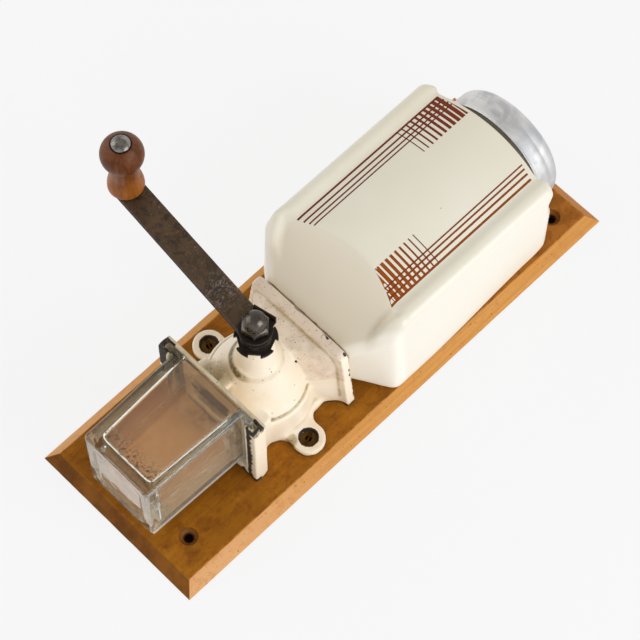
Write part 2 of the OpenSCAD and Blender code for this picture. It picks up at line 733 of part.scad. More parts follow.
module shaft() color("dimgray") {
    tail_z = rear_z - 1;
    end_z = nut_z + nut_hex_h + nut_collar_h + 2.5;
    difference() {
        union() {
            at_shaft(tail_z) cylinder(d = journal_d, h = burr_bottom_z - tail_z);
            at_shaft(burr_bottom_z) cylinder(d = shaft_d, h = arm_z - burr_bottom_z);
            at_shaft(arm_z) rotate([0, 0, arm_angle]) intersection() {
                translate([-square_side / 2, -square_side / 2, 0])
                    cube([square_side, square_side, arm_t - 0.2]);
                cylinder(d = shaft_d, h = arm_t);
            }
            at_shaft(tab_z - 0.2) cylinder(d = square_side, h = end_z - tab_z + 0.2);
        }
        rod_x(shaft_x - shaft_d, 0, burr_top_z - hub_h / 2, burr_pin_d / 2 + fixed_clear, 2 * shaft_d);
    }
}

// Coil round the shaft between the turning burr and the bush
module burr_spring() color("silver") {
    wire_r = spring_wire_d / 2;
    coil_r = shaft_d / 2 + 0.5 + wire_r;
    low = burr_top_z + wire_r + rub_gap;
    rise = bush_z - rub_gap - wire_r - low;
    rings = floor(spring_turns * 12);
    sections = [for (k = [0 : rings]) let (a = 360 * spring_turns * k / rings)
                [for (j = [0 : 5]) let (r = coil_r + wire_r * cos(60 * j))
                 [r * cos(a), r * sin(a), low + rise * k / rings + wire_r * sin(60 * j)]]];
    at_shaft(0) loft([for (k = [rings : -1 : 0]) sections[k]]);
}

module crank_arm() color("saddlebrown") at_shaft(arm_z) rotate([0, 0, arm_angle]) difference() {
    union() {
        cylinder(d = arm_w + 1, h = arm_t);
        translate([arm_l, 0, 0]) cylinder(d = arm_w, h = arm_t);
        translate([0, -arm_w / 2, 0]) cube([arm_l, arm_w, arm_t]);
    }
    hole = square_side + 2 * fixed_clear;
    translate([0, 0, -cut]) intersection() {
        translate([-hole / 2, -hole / 2, 0]) cube([hole, hole, arm_t + 2 * cut]);
        cylinder(d = shaft_d + 2 * fixed_clear, h = arm_t + 2 * cut);
    }
    translate([arm_l, 0, -cut]) cylinder(d = pin_d + 2 * fixed_clear, h = arm_t + 2 * cut);
}

// Washer whose side is bent up against a flat of the dome nut
module tab_washer() color("dimgray") at_shaft(tab_z) rotate([0, 0, tab_angle]) {
    difference() {
        union() {
            cylinder(r = tab_r, h = tab_t);
            translate([0, -tab_w / 2, 0]) cube([tab_reach + tab_t, tab_w, tab_t]);
        }
        translate([0, 0, -cut]) cylinder(d = square_side + 2 * fixed_clear, h = tab_t + 2 * cut);
    }
    translate([tab_reach, -tab_w / 2, 0]) cube([tab_t, tab_w, tab_t + tab_h]);
}

module dome_nut() color("dimgray") at_shaft(nut_z) difference() {
    union() {
        rotate([0, 0, tab_angle + 30]) cylinder(d = nut_flats / cos(30), h = nut_hex_h, $fn = 6);
        translate([0, 0, nut_hex_h + nut_collar_h]) sphere(r = nut_dome_r);
        cylinder(r = nut_dome_r, h = nut_hex_h + nut_collar_h);
    }
    translate([0, 0, -cut])
        cylinder(d = square_side + 2 * fixed_clear, h = nut_hex_h + nut_collar_h + 3 + cut);
}

module knob_washer() color("dimgray") at_knob(tab_z + rub_gap) difference() {
    cylinder(r = pin_d / 2 + 5.5, h = knob_washer_t);
    translate([0, 0, -cut]) cylinder(d = pin_d + 2 * run_clear, h = knob_washer_t + 2 * cut);
}

// Height of the flat that the pin's head sits over, from the knob's foot
knob_top = ball_h + sqrt(pow(ball_d / 2, 2) - pow(pin_head_r + 0.8, 2));

module knob_pin() color("gray") {
    at_knob(arm_z - pin_foot_h) cylinder(d1 = pin_d + 1, d2 = pin_d + 4, h = pin_foot_h);
    at_knob(arm_z) cylinder(d = pin_d, h = knob_z + knob_top - arm_z + 1);
    at_knob(knob_z + knob_top + rub_gap) intersection() {
        cylinder(r = pin_head_r, h = pin_head_h);
        translate([0, 0, pin_head_h - pin_dome_r]) sphere(r = pin_dome_r);
    }
}

module knob() color("sienna") at_knob(knob_z) {
    ball_r = ball_d / 2;
    neck_a = asin((waist_r + 0.3) / ball_r);
    top_a = acos((pin_head_r + 0.8) / ball_r);
    ball = [for (i = [0 : 12]) let (a = neck_a - 90 + (top_a + 90 - neck_a) * i / 12)
            [ball_r * cos(a), ball_h + ball_r * sin(a)]];
    flare = [for (i = [0 : 8]) let (t = i / 8)
             [waist_r + (foot_r - waist_r) * pow(cos(90 * t), 1.5), 2 + (waist_h - 2) * t]];
    bore = pin_d / 2 + run_clear;
    rotate_extrude($fn = 96) polygon(concat([[bore, 0], [foot_r - 0.5, 0]], flare, ball, [[bore, knob_top]]));
}

backboard();
mill_body();
ear_screws();
outer_burr();
shaft_bush();
rear_bearing();
rear_bearing_screws();
jar();
jar_gasket();
jar_clamp();
jar_screws();
lid();
glass_cup();
thrust_washer();
adjusting_nut();
shaft();
inner_burr();
burr_pin();
burr_spring();
crank_arm();
tab_washer();
dome_nut();
knob_washer();
knob_pin();
knob();
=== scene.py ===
import math
import bmesh
import bpy
import numpy as np
from mathutils import Matrix, Vector, noise


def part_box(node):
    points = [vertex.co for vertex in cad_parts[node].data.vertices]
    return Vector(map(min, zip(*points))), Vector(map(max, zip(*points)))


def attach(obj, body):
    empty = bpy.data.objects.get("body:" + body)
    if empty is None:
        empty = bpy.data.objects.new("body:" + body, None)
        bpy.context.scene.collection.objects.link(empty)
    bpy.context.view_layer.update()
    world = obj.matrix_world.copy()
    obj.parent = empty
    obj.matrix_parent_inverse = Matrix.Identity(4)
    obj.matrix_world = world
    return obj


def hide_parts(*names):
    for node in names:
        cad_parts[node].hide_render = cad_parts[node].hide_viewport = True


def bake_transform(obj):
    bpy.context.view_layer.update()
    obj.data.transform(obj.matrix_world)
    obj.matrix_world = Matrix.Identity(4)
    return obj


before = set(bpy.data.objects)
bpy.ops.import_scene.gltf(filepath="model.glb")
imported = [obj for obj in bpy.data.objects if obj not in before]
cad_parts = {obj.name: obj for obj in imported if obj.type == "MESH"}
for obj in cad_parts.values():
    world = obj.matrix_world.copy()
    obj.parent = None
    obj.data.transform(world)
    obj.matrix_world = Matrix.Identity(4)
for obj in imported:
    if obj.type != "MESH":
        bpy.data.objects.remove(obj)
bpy.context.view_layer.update()        # the imported mill's meshes, now in world space
mm = 0.001
scene = bpy.context.scene
treeInHand = None        # the node tree that the small tools add to


# Small tools for node trees

class Wire:  # a node's output, reckoned with like a number
    def __init__(self, socket):
        self.socket = socket

    def __add__(self, other):
        return calc("ADD", self, other)

    def __sub__(self, other):
        return calc("SUBTRACT", self, other)

    def __rsub__(self, other):
        return calc("SUBTRACT", other, self)

    def __mul__(self, other):
        return calc("MULTIPLY", self, other)

    def __abs__(self):
        return calc("ABSOLUTE", self)


def workOn(tree):
    global treeInHand
    treeInHand = tree
    return tree


def feed(value, socket):  # wires are linked, anything else is set
    if isinstance(value, (Wire, list)):
        for wire in value if isinstance(value, list) else [value]:
            treeInHand.links.new(wire.socket, socket)
    else:
        socket.default_value = value


def put(kind, inputs=None, out=0, **settings):
    node = treeInHand.nodes.new(kind)
    for key, value in settings.items():
        setattr(node, key, value)
    for key, value in (inputs or {}).items():
        feed(value, node.inputs[key])
    return Wire(node.outputs[out])


def calc(operation, a, b=0.0):
    return put("ShaderNodeMath", {0: a, 1: b}, operation=operation)


def higher(a, b):
    return calc("MAXIMUM", a, b)


def distance(a, b):  # from the lengths along two square directions
    return calc("SQRT", a * a + b * b)


def split(spot):  # the three numbers of a vector
    node = treeInHand.nodes.new("ShaderNodeSeparateXYZ")
    feed(spot, node.inputs[0])
    return [Wire(output) for output in node.outputs]


def vector(x=0.0, y=0.0, z=0.0):
    return put("ShaderNodeCombineXYZ", {0: x, 1: y, 2: z})


def place(stretch=(1, 1, 1), shift=(0, 0, 0), turn=(0, 0, 0)):
    spot = put("ShaderNodeTexCoord", out="Object")
    return put("ShaderNodeMapping", {"Vector": spot, "Scale": stretch, "Location": shift, "Rotation": turn})


def whereIs():  # x, y and z of a point, in millimetres
    return split(place(stretch=(1 / mm, 1 / mm, 1 / mm)))


def cloud(scale, detail=4.0, rough=0.55, distort=0.0, **where):
    return put("ShaderNodeTexNoise", {"Vector": place(**where), "Scale": scale, "Detail": detail,
                                      "Roughness": rough, "Distortion": distort})


def cells(scale, out="Distance"):
    return put("ShaderNodeTexVoronoi", {"Vector": place(), "Scale": scale}, out=out)


def cellKind(scale):  # one number for each cell
    return put("ShaderNodeSeparateColor", {"Color": cells(scale, out="Color")})


def reading(name):  # a number kept on the piece's own points
    return put("ShaderNodeAttribute", out="Fac", attribute_name=name)


def rise(value, low, high):  # 0 below low, 1 above high
    return put("ShaderNodeMapRange", {"Value": value, "From Min": low, "From Max": high},
               interpolation_type="SMOOTHSTEP")


def fall(value, low, high):  # 1 below low, 0 above high
    return 1.0 - rise(value, low, high)


def between(amount, a, b):  # a number that goes from a to b
    return put("ShaderNodeMapRange", {"Value": amount, "To Min": a, "To Max": b})


def srgb(red, green, blue):  # a display colour, 0 to 255, as a socket wants it
    def linear(c):
        c /= 255
        return c / 12.92 if c <= 0.04045 else ((c + 0.055) / 1.055) ** 2.4
    return (linear(red), linear(green), linear(blue), 1.0)


def blend(amount, a, b):  # from one colour to another, each a wire or a display colour
    node = treeInHand.nodes.new("ShaderNodeMix")
    node.data_type = "RGBA"
    for socket, value in ((0, amount), (6, a), (7, b)):
        feed(srgb(*value) if isinstance(value, tuple) else value, node.inputs[socket])
    return Wire(node.outputs[2])


def washed(colour, tones, **masks):  # one tone after another laid over a colour, each by its own mask
    for name, mask in masks.items():
        colour = blend(mask, colour, tones[name])
    return colour


def bumped(height, deep, strength):
    return put("ShaderNodeBump", {"Height": height, "Distance": deep, "Strength": strength})


def startMaterial(name):
    material = bpy.data.materials.new(name)
    material.use_nodes = True
    workOn(material.node_tree)
    return material


def dress(material, sockets):  # links or sets the shader's own sockets
    shader = material.node_tree.nodes["Principled BSDF"]
    for key, value in sockets.items():
        feed(value, shader.inputs[key])
    return material


# Small tools for meshes; points are in millimetres until they reach a mesh

def inScene(name, data):
    thing = bpy.data.objects.new(name, data)
    scene.collection.objects.link(thing)
    return thing


def reworked(mesh, *steps):  # a mesh after some bmesh steps
    work = bmesh.new()
    work.from_mesh(mesh)
    for step in steps:
        step(work)
    work.to_mesh(mesh)
    work.free()
    return mesh


def meshFrom(name, points, faces):
    mesh = bpy.data.meshes.new(name)
    mesh.from_pydata((np.asarray(points, float) * mm).tolist(), [], faces)
    mesh.update()
    return mesh


def lofted(name, rings, wrap=False):  # rings are closed loops of equally many points
    rings = np.asarray(rings, float)
    rows, count = rings.shape[:2]
    points = rings.reshape(-1, 3).tolist()
    faces = []
    for s in range(rows if wrap else rows - 1):
        t = (s + 1) % rows
        for i in range(count):
            j = (i + 1) % count
            faces.append((s * count + i, s * count + j, t * count + j, t * count + i))
    if not wrap:
        for row, order in ((0, -1), (rows - 1, 1)):
            hub = len(points)
            points.append(rings[row].mean(0).tolist())
            for i in range(count)[::order]:
                j = (i + order) % count
                faces.append((row * count + i, row * count + j, hub))
    return reworked(meshFrom(name, points, faces), faceOutwards)


def faceOutwards(work):  # closes doubles first
    bmesh.ops.remove_doubles(work, verts=work.verts, dist=1e-6)
    bmesh.ops.dissolve_degenerate(work, edges=work.edges, dist=1e-7)
    bmesh.ops.recalc_face_normals(work, faces=work.faces)


def turned(name, profile, centre, along="Z", steps=144, wrap=False, wave=None):
    angles = np.linspace(0, 2 * math.pi, steps, endpoint=False)
    rings = []
    for radius, height in profile:
        r = max(radius, 1e-4) * (np.ones(steps) if wave is None else wave(angles, height))
        ring = np.stack([r * np.cos(angles), r * np.sin(angles), np.full(steps, height)], 1)
        rings.append(ring if along == "Z" else ring[:, [2, 1, 0]] * (1, -1, 1))
    return lofted(name, np.array(rings) + np.array(centre), wrap)


def bored(name, radius, low, high, centre, along="Z"):  # a plain round cutter
    profile = [(0, low), (radius, low), (radius, high), (0, high)]
    return turned(name, profile, centre, along, steps=32)


def arc(cx, cy, radius, first, last, steps):  # points of a round stretch in a profile
    return [(cx + radius * math.cos(math.radians(a)), cy + radius * math.sin(math.radians(a)))
            for a in np.linspace(first, last, steps + 1)]


def pieceFrom(mesh, material, body, slot, *nodes, sharp=35):
    piece = inScene(mesh.name, mesh)
    if material is not None:
        mesh.materials.clear()
        mesh.materials.append(material)
    mesh.shade_smooth()
    mesh.set_sharp_from_angle(angle=math.radians(sharp))
    if body:
        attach(piece, body)
    if nodes:
        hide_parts(*nodes)
    return piece


def taken(holder):  # what the holder's modifiers make, as a plain mesh
    name = holder.data.name
    seen = holder.evaluated_get(bpy.context.evaluated_depsgraph_get())
    made = bpy.data.meshes.new_from_object(seen)
    bpy.data.meshes.remove(holder.data)  # the holder goes with it
    made.name = name
    return made


def throughModifiers(mesh, *modifiers):  # each one given as its kind and settings
    holder = inScene("holder", mesh)
    for kind, settings in modifiers:
        modifier = holder.modifiers.new(kind, kind)
        for key, value in settings.items():
            setattr(modifier, key, value)
    return taken(holder)


def without(mesh, *cutters):  # boolean cuts, with each cutter a closed mesh
    tools = [inScene("cutter", cutter) for cutter in cutters]
    cuts = [("BOOLEAN", {"operation": "DIFFERENCE", "solver": "EXACT", "object": tool}) for tool in tools]
    made = throughModifiers(mesh, *cuts)
    for cutter in cutters:
        bpy.data.meshes.remove(cutter)  # its object goes with it
    return made


def mergedCopy(node, name):
    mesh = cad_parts[node].data.copy()
    mesh.name = name
    mesh.materials.clear()
    return reworked(mesh, lambda work: bmesh.ops.remove_doubles(work, verts=work.verts, dist=2e-6))


def softened(node, name, width, limit=25):  # the node's own shape with its sharp edges broken
    def flatten(work):
        bmesh.ops.dissolve_limit(work, angle_limit=math.radians(0.5), verts=work.verts, edges=work.edges)

    def breakEdges(work):
        sharp = [e for e in work.edges if len(e.link_faces) == 2
                 and e.calc_face_angle(0) > math.radians(limit)]
        bmesh.ops.bevel(work, geom=sharp, offset=width * mm, segments=3, profile=0.6,
                        affect="EDGES", clamp_overlap=True)

    return reworked(mergedCopy(node, name), flatten, breakEdges)


def section(x, y, z):  # points of a loop that stands at x
    return np.column_stack([np.full(len(y), x), y, z])


def smooth(t):
    t = np.clip(t, 0, 1)
    return t * t * (3 - 2 * t)


def ease(way, span):  # 0 where way is below nought, 1 where it is past the span
    return smooth(way / span)


def past(value, reach):  # the same for a reach given as where it starts and its span
    return ease(value - reach[0], reach[1])


def corners(node):  # lowest and highest corner of a node, in millimetres
    low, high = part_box(node)
    return np.array(low) / mm, np.array(high) / mm


def readFlat(rows, key, width=3):  # a mesh's own numbers as an array, some to a row
    flat = np.empty(len(rows) * width, int if key == "vertices" else float)
    rows.foreach_get(key, flat)
    return flat.reshape(-1, width)


def readPoints(mesh):
    return readFlat(mesh.vertices, "co") / mm


def readNormals(mesh):
    return readFlat(mesh.vertex_normals, "vector")


def writePoints(mesh, points):
    mesh.vertices.foreach_set("co", (points * mm).ravel())
    mesh.update()


def noiseAt(points, scale, seed):
    return np.array([noise.noise(Vector(p) * scale + Vector((seed, 2 * seed, 0))) for p in points])


# Camera, floor and light

camera = dict(
    place=(-516.9, -504.9, 1554.2), azimuth=-45.22, elevation=64.67, roll=0.43, lens=141.47, sensor=36.0,
    clip=(0.05, 50))


def setCamera():
    a, e, t = (math.radians(camera[k]) for k in ("azimuth", "elevation", "roll"))
    back = Vector((math.sin(a) * math.cos(e), -math.cos(a) * math.cos(e), math.sin(e)))
    right = Vector((math.cos(a), math.sin(a), 0))
    up = back.cross(right)
    across = right * math.cos(t) + up * math.sin(t)
    upright = up * math.cos(t) - right * math.sin(t)
    data = bpy.data.cameras.new("photoCamera")
    data.lens, data.sensor_width = camera["lens"], camera["sensor"]
    data.clip_start, data.clip_end = camera["clip"]
    scene.camera = inScene("photoCamera", data)
    turn = Matrix((across, upright, back)).transposed().to_4x4()
    scene.camera.matrix_world = Matrix.Translation(Vector(camera["place"]) * mm) @ turn


studio = dict(
    zenith=0.50, horizon=0.75, backdrop=0.95, ceiling=0.55, ceilingEdge=(0.2, 0.8), floorSize=6000,
    floorDrop=0.03, floorColour=(252, 252, 252), floorRough=0.9, glow=(249, 249, 249), glowShare=0.86,
    underBoard=(52, 34, 20), underInset=3)
lamps = [
    dict(name="keySoftbox", place=(350, -1940, 1100), size=1500, power=25.5, colour=(0.97, 1.0, 1.05)),
    dict(name="fillSoftbox", place=(-1100, 1500, 900), size=1600, power=10.5, colour=(1.0, 1.0, 1.0))]


def ray(kind):  # 1 for this kind of ray
    return put("ShaderNodeLightPath", out="Is " + kind + " Ray")


def looking():  # 1 for rays that show a surface, straight or through glass and gloss
    return higher(ray("Camera"), higher(ray("Glossy"), ray("Transmission")))


def setWorld():
    scene.view_settings.view_transform = "Standard"
    scene.world = bpy.data.worlds.new("studio")
    scene.world.use_nodes = True
    background = workOn(scene.world.node_tree).nodes["Background"]
    up = split(put("ShaderNodeTexCoord", out="Generated"))[2]
    soft = between(up, studio["horizon"], studio["zenith"])
    mirrored = higher(ray("Glossy") - ray("Transmission"), 0.0)
    seen = between(rise(up, *studio["ceilingEdge"]) * mirrored, studio["backdrop"], studio["ceiling"])
    background.inputs["Color"].default_value = (1, 1, 1, 1)
    feed(between(looking(), soft, seen), background.inputs["Strength"])


def layFloor():
    material = startMaterial("paleFloor")
    x, y = whereIs()[:2]
    reach = corners("backboard")[1] - studio["underInset"]
    past = higher(abs(x) - reach[0], abs(y) - reach[1])
    offBoard = calc("GREATER_THAN", past, 0.0)  # the floor under the board is painted dark brown, a painted shadow seen through the board's holes
    dress(material, {"Base Color": blend(offBoard, studio["underBoard"], studio["floorColour"]),
                     "Roughness": studio["floorRough"], "Specular IOR Level": 0.0})
    matt = Wire(treeInHand.nodes["Principled BSDF"].outputs[0])
    glow = put("ShaderNodeEmission", {"Color": srgb(*studio["glow"])})
    share = looking() * studio["glowShare"] * offBoard
    pale = put("ShaderNodeMixShader", {0: share, 1: matt, 2: glow})
    feed(pale, treeInHand.nodes["Material Output"].inputs["Surface"])
    half, z = studio["floorSize"] / 2, -studio["floorDrop"]
    spots = [(-half, -half, z), (half, -half, z), (half, half, z), (-half, half, z)]
    sheet = meshFrom("floor", spots, [(0, 1, 2, 3)])
    sheet.materials.append(material)
    floor = inScene("floor", sheet)


def hangLamps():
    for row in lamps:
        data = bpy.data.lights.new(row["name"], "AREA")
        data.shape, data.size = "SQUARE", row["size"] * mm
        data.energy, data.color = row["power"], row["colour"]
        lamp = inScene(row["name"], data)
        lamp.location = Vector(row["place"]) * mm
        lamp.rotation_euler = (-lamp.location).to_track_quat("-Z", "Y").to_euler()


setCamera()
setWorld()
layFloor()
hangLamps()
print("camera, floor and light set")


# Steel and brass finishes

metals = {  # tones from dark to light, least and most rough
    # the screw tones are painted lighter than rusty steel: painted light for the shade of the deep ear
    # holes
    "rustyScrew": dict(tones=((100, 70, 32), (132, 95, 44), (156, 117, 64)), rough=(0.55, 0.85),
        rust=0.3),
    "darkSteel": dict(tones=((66, 60, 54), (104, 96, 88), (154, 146, 136)), rough=(0.2, 0.34)),
    "blackSteel": dict(tones=((36, 30, 25), (54, 46, 38), (84, 74, 64)), rough=(0.36, 0.6), metallic=0.8),
    "rivetSteel": dict(tones=((78, 74, 69), (160, 155, 147), (214, 210, 203)), rough=(0.14, 0.28),
        scale=2.5),
    "burrIron": dict(tones=((52, 50, 48), (84, 80, 76), (120, 114, 108)), rough=(0.45, 0.7), rust=0.4),
    "wornBrass": dict(tones=((150, 112, 52), (186, 146, 72), (212, 178, 104)), rough=(0.25, 0.45)),
    "plainSteel": dict(tones=((118, 116, 114), (150, 148, 146), (186, 184, 182)), rough=(0.28, 0.48),
        rust=0.15)}
rustTone = (112, 62, 28)


def metalFinish(name, tones, rough, rust=0.0, metallic=1.0, scale=1.0):
    material = startMaterial(name)
    dark, mid, light = tones
    smudge = cloud(60.0 * scale, 5.0, rough=0.65)
    grit = cloud(520.0 * scale, 4.0, rough=0.7)
    colour = blend(rise(smudge, 0.3, 0.7), dark, mid)
    colour = blend(rise(grit, 0.55, 0.78) * 0.6, colour, light)
    if rust:
        bloom = cloud(130.0 * scale, 6.0, shift=(2, 5, 1), rough=0.7)
        spots = rise(bloom, 0.62 - 0.25 * rust, 0.78 - 0.2 * rust) * 0.85
        colour = blend(spots, colour, rustTone)
        metallic = fall(spots, 0.2, 0.8)
    return dress(material, {
        "Base Color": colour, "Metallic": metallic, "Roughness": between(grit, *rough),
        "Normal": bumped(smudge * 0.6 + grit * 0.4, 0.00025, 0.45)})


metal = {name: metalFinish(name, **row) for name, row in metals.items()}
print("metals mixed:", len(metal))


# Wooden board

board = dict(
    bevel=8.0, edge=1.2, arris=0.7, foot=0.5, wobble=0.22, chip=0.5, step=2.0,
    holes=[(-169, -40.3), (-169, 40.3), (171.5, -46.7), (171.5, 46.7)], holeRadius=3.0, sinkRadius=6.0,
    screwX=-66, screwSpan=95.2, screwRadius=2.25)
boardTones = dict(
    grain=((142, 86, 16), (170, 105, 22)), cloudy=(128, 76, 12), amber=(182, 116, 28),
    jarEnd=(190, 116, 46), pool=(118, 64, 14), fibre=(100, 56, 10), spots=(106, 56, 10),
    faded=(186, 120, 36), side=((201, 137, 65), (213, 153, 81)), cupSide=(226, 171, 120),
    sideSpots=(190, 126, 66), cupEnd=((104, 60, 14), (138, 84, 24)), farEnd=(196, 128, 64),
    # the bore tone is painted shade for the inside of the holes
    worn=(206, 146, 70), pores=(66, 36, 8), sinkEdge=(74, 42, 14), sink=(136, 84, 34), bore=(56, 32, 12))


def boardWood():
    material, tone = startMaterial("stainedBoard"), boardTones
    reachX, reachY = corners("backboard")[1][:2] - board["bevel"]
    x, y = whereIs()[:2]
    grain = cloud(1.0, 6.0, stretch=(7, 130, 130), distort=1.2)
    fibre = cloud(1.0, 5.0, stretch=(28, 1100, 1100), rough=0.7)
    lines = cloud(1.0, 4.0, stretch=(12, 700, 700), rough=0.6, shift=(0, 0, 4))
    blotch = cloud(22.0, 5.0, stretch=(0.8, 1.3, 1))
    stain = cloud(55.0, 6.0, shift=(3, 1, 0), rough=0.65)
    pool = cloud(48.0, 4.0, shift=(6, 2, 0), rough=0.6, distort=1.6)
    mottle = cloud(150.0, 6.0, shift=(2, 9, 0), rough=0.7)
    speck = cloud(620.0, 2.0, shift=(0, 7, 0))
    outX, outY = abs(x) - reachX, abs(y) - reachY  # how far out on the bevels
    onSide = rise(outY - higher(outX, 0.0), -0.1, 0.4)
    onEnd = rise(outX - higher(outY, 0.0), 0.0, 1.0)
    arris = fall(abs(higher(outY, outX)), 0.2, 0.9) * rise(x, -186, -180)  # not at the cup's end
    top = washed(
        blend(rise(grain, 0.25, 0.75), *tone["grain"]), tone,
        cloudy=rise(blotch, 0.40, 0.66) * 0.6,
        amber=rise(stain, 0.50, 0.68) * 0.5,
        jarEnd=rise(x, -20, 180) * 0.6,
        pool=rise(pool, 0.50, 0.62) * 0.45,
        fibre=rise(fibre, 0.55, 0.8) * 0.25,
        spots=rise(mottle, 0.52, 0.66) * 0.4,
        faded=fall(mottle, 0.32, 0.42) * 0.35)
    side = washed(
        blend(rise(lines, 0.35, 0.7), *tone["side"]), tone,
        cupSide=fall(x, -170, -20) * 0.7,
        sideSpots=rise(mottle, 0.50, 0.68) * 0.45)
    end = blend(rise(x, -50, 50), blend(rise(stain, 0.35, 0.65), *tone["cupEnd"]), tone["farEnd"])
    colour = washed(
        blend(onEnd, blend(onSide, top, side), end), tone,
        worn=arris * rise(cloud(90.0), 0.4, 0.62) * 0.6,
        pores=rise(speck, 0.66, 0.73) * 0.65)
    for hx, hy in board["holes"][1::2]:  # both holes of a pair lie alike about the middle
        away = distance(x - hx, abs(y) - hy)
        colour = washed(
            colour, tone,
            sinkEdge=fall(away, 6.0, 6.8) * 0.6,
            sink=fall(away, 5.0, 5.8) * 0.7,
            # the bore is painted near-black: painted shade inside the hole
            bore=fall(away, 3.2, 4.2))
    return dress(material, {
        "Base Color": colour, "Specular IOR Level": 0.12, "Roughness": between(blotch, 0.42, 0.66),
        "Normal": bumped(fibre * 0.6 + grain * 0.4, 0.0003, 0.5)})


def makeBoard():
    low, high = corners("backboard")
    thick, bevel, edge, foot, r = high[2], board["bevel"], board["edge"], board["foot"], board["arris"]
    rows = [(0.6, 0.0), (0.0, foot), (0.0, edge - foot)]  # inset from the edge, and height
    rows += [(t * r * 0.5, edge - foot + t * 0.8) for t in (0.5, 1.0)]
    rows += [(bevel * t, edge + (thick - edge) * t) for t in (0.25, 0.5, 0.75, 0.93)]
    rows += [(bevel + r * 0.1, thick - 0.12), (bevel + r * 0.9, thick)]
    sideX = np.arange(low[0], high[0], board["step"])
    sideY = np.arange(low[1], high[1], board["step"])
    loop = [(x, low[1], 0, 1) for x in sideX] + [(high[0], y, -1, 0) for y in sideY]
    loop += [(-x, high[1], 0, -1) for x in sideX] + [(low[0], -y, 1, 0) for y in sideY]
    rings = []
    for inset, z in rows:
        ring = []
        for x, y, nx, ny in loop:
            px = max(min(x, high[0] - inset), low[0] + inset)
            py = max(min(y, high[1] - inset), low[1] + inset)
            sway = board["wobble"] * noise.noise(Vector((px, py, z * 3)) * 0.09)
            chip = board["chip"] * max(0.0, noise.noise(Vector((px, py, 7)) * 0.16) - 0.45)
            push = max(sway, 0) + (chip if foot < z < thick - 0.05 else 0)
            ring.append((px + nx * push, py + ny * push, z))
        rings.append(ring)
    r, sink = board["holeRadius"], board["sinkRadius"]
    profile = [(0, -1), (r, -1), (r, thick - (sink - r) - 0.4), (r + 0.5, thick - (sink - r)),
               (sink, thick - 0.35), (sink + 0.5, thick + 0.1), (sink + 0.5, thick + 1), (0, thick + 1)]
    cutters = [turned("hole", profile, (x, y, 0), steps=64) for x, y in board["holes"]]
    cutters += [bored("pilot", board["screwRadius"], edge, thick + 1,
                      (board["screwX"], side * board["screwSpan"] / 2, 0)) for side in (-1, 1)]
    mesh = without(lofted("woodBoard", rings), *cutters)
    return pieceFrom(mesh, boardWood(), "frame", "board_wood", "backboard", sharp=28)


makeBoard()
print("board made")


# Cast housing

casting = dict(
    voxel=0.95, edgeRounds=4, filletRounds=26, softRounds=36, wobble=0.10, chipDepth=0.35, parting=0.5,
    shaftX=-66.0, railX=-111.3, plateX=-104.0, railFoot=11.0, top=89.0, foot=9.5, shoulder=40.0,
    bellRadius=33.3, ringZ=70.0, ringRadius=17.0, earSpan=95.2, earHole=7.4, seatX=-24.3, seatEdge=-25.6,
    creaseX=-31.2, chute=(1, 53))
smudges = [  # place, size, depth
    (-75.6, -41.7, 14, 7, 0.75), (-84.0, 15.0, 50, 9, 0.8), (-60, 41, 14, 7, 0.5)]
enamelTones = dict(
    cream=((248, 231, 203), (250, 238, 218)), pink=(243, 220, 200), aged=(238, 214, 172),
    # the soil tone stands for grime and for painted shade alike
    rubbed=(224, 200, 176), crumb=(150, 116, 84), soil=(176, 154, 104), grit=(90, 68, 38),
    pin=(70, 50, 30), iron=((26, 22, 18), (66, 46, 28)), flake=(206, 194, 170))


def enamel():
    material, tone = startMaterial("chippedEnamel"), enamelTones
    hollow, chip, dirt, rubbed = (reading(k) for k in ("hollow", "chip", "dirt", "rubbed"))
    patch = cloud(70.0, 5.0, shift=(5, 0, 2), rough=0.6)
    fine = cloud(420.0, 4.0, rough=0.7)
    aged = cloud(44.0, 5.0, shift=(9, 2, 4), rough=0.65)
    crumb = cloud(520.0, 3.0, shift=(4, 4, 1))
    flake = cloud(700.0, 3.0, shift=(0, 3, 8))
    # the soil mask mixes grime with painted shade
    soil = (hollow * 0.35 + dirt * 0.9) * between(patch, 0.4, 1.7)
    wanted = dirt * 0.35 + rubbed * 0.05 + 0.03  # share of the cells that hold a pinhole
    pin = fall(cells(400.0), 0.10, 0.26) * calc("LESS_THAN", cellKind(400.0), wanted)
    bare = rise((fine - 0.5) * 0.5 + chip, 0.42, 0.52)
    colour = washed(
        blend(rise(cloud(26.0), 0.35, 0.7), *tone["cream"]), tone,
        pink=rise(patch, 0.5, 0.72) * 0.35,
        aged=rise(aged, 0.50, 0.68) * 0.3,
        rubbed=rubbed * between(patch, 0.3, 1.2),
        crumb=rubbed * rise(crumb, 0.60, 0.68) * 0.6,
        soil=rise(soil, 0.14, 0.6) * 0.7,
        grit=rise((fine - 0.5) * 1.5 + soil, 0.6, 1.0) * 0.85,
        pin=pin * 0.8)
    iron = blend(rise(fine, 0.4, 0.7), *tone["iron"])
    iron = blend(rise(flake, 0.66, 0.72) * 0.8, iron, tone["flake"])
    height = cloud(150.0, 3.0) * 0.5 - (pin * 0.5 + bare)
    return dress(material, {
        "Base Color": blend(bare, colour, iron), "Normal": bumped(height, 0.0003, 0.6),
        "Roughness": between(patch, 0.24, 0.5) + bare * 0.3})


def neighbourMean(points, edges, count):
    total = np.empty_like(points)
    for k in range(points.shape[1]):
        total[:, k] = (np.bincount(edges[:, 0], points[edges[:, 1], k], len(points))
                       + np.bincount(edges[:, 1], points[edges[:, 0], k], len(points)))
    return total / count[:, None]


def fromEars(x, y):  # distance to the nearer ear's middle
    return np.hypot(x - casting["shaftX"], np.abs(y) - casting["earSpan"] / 2)


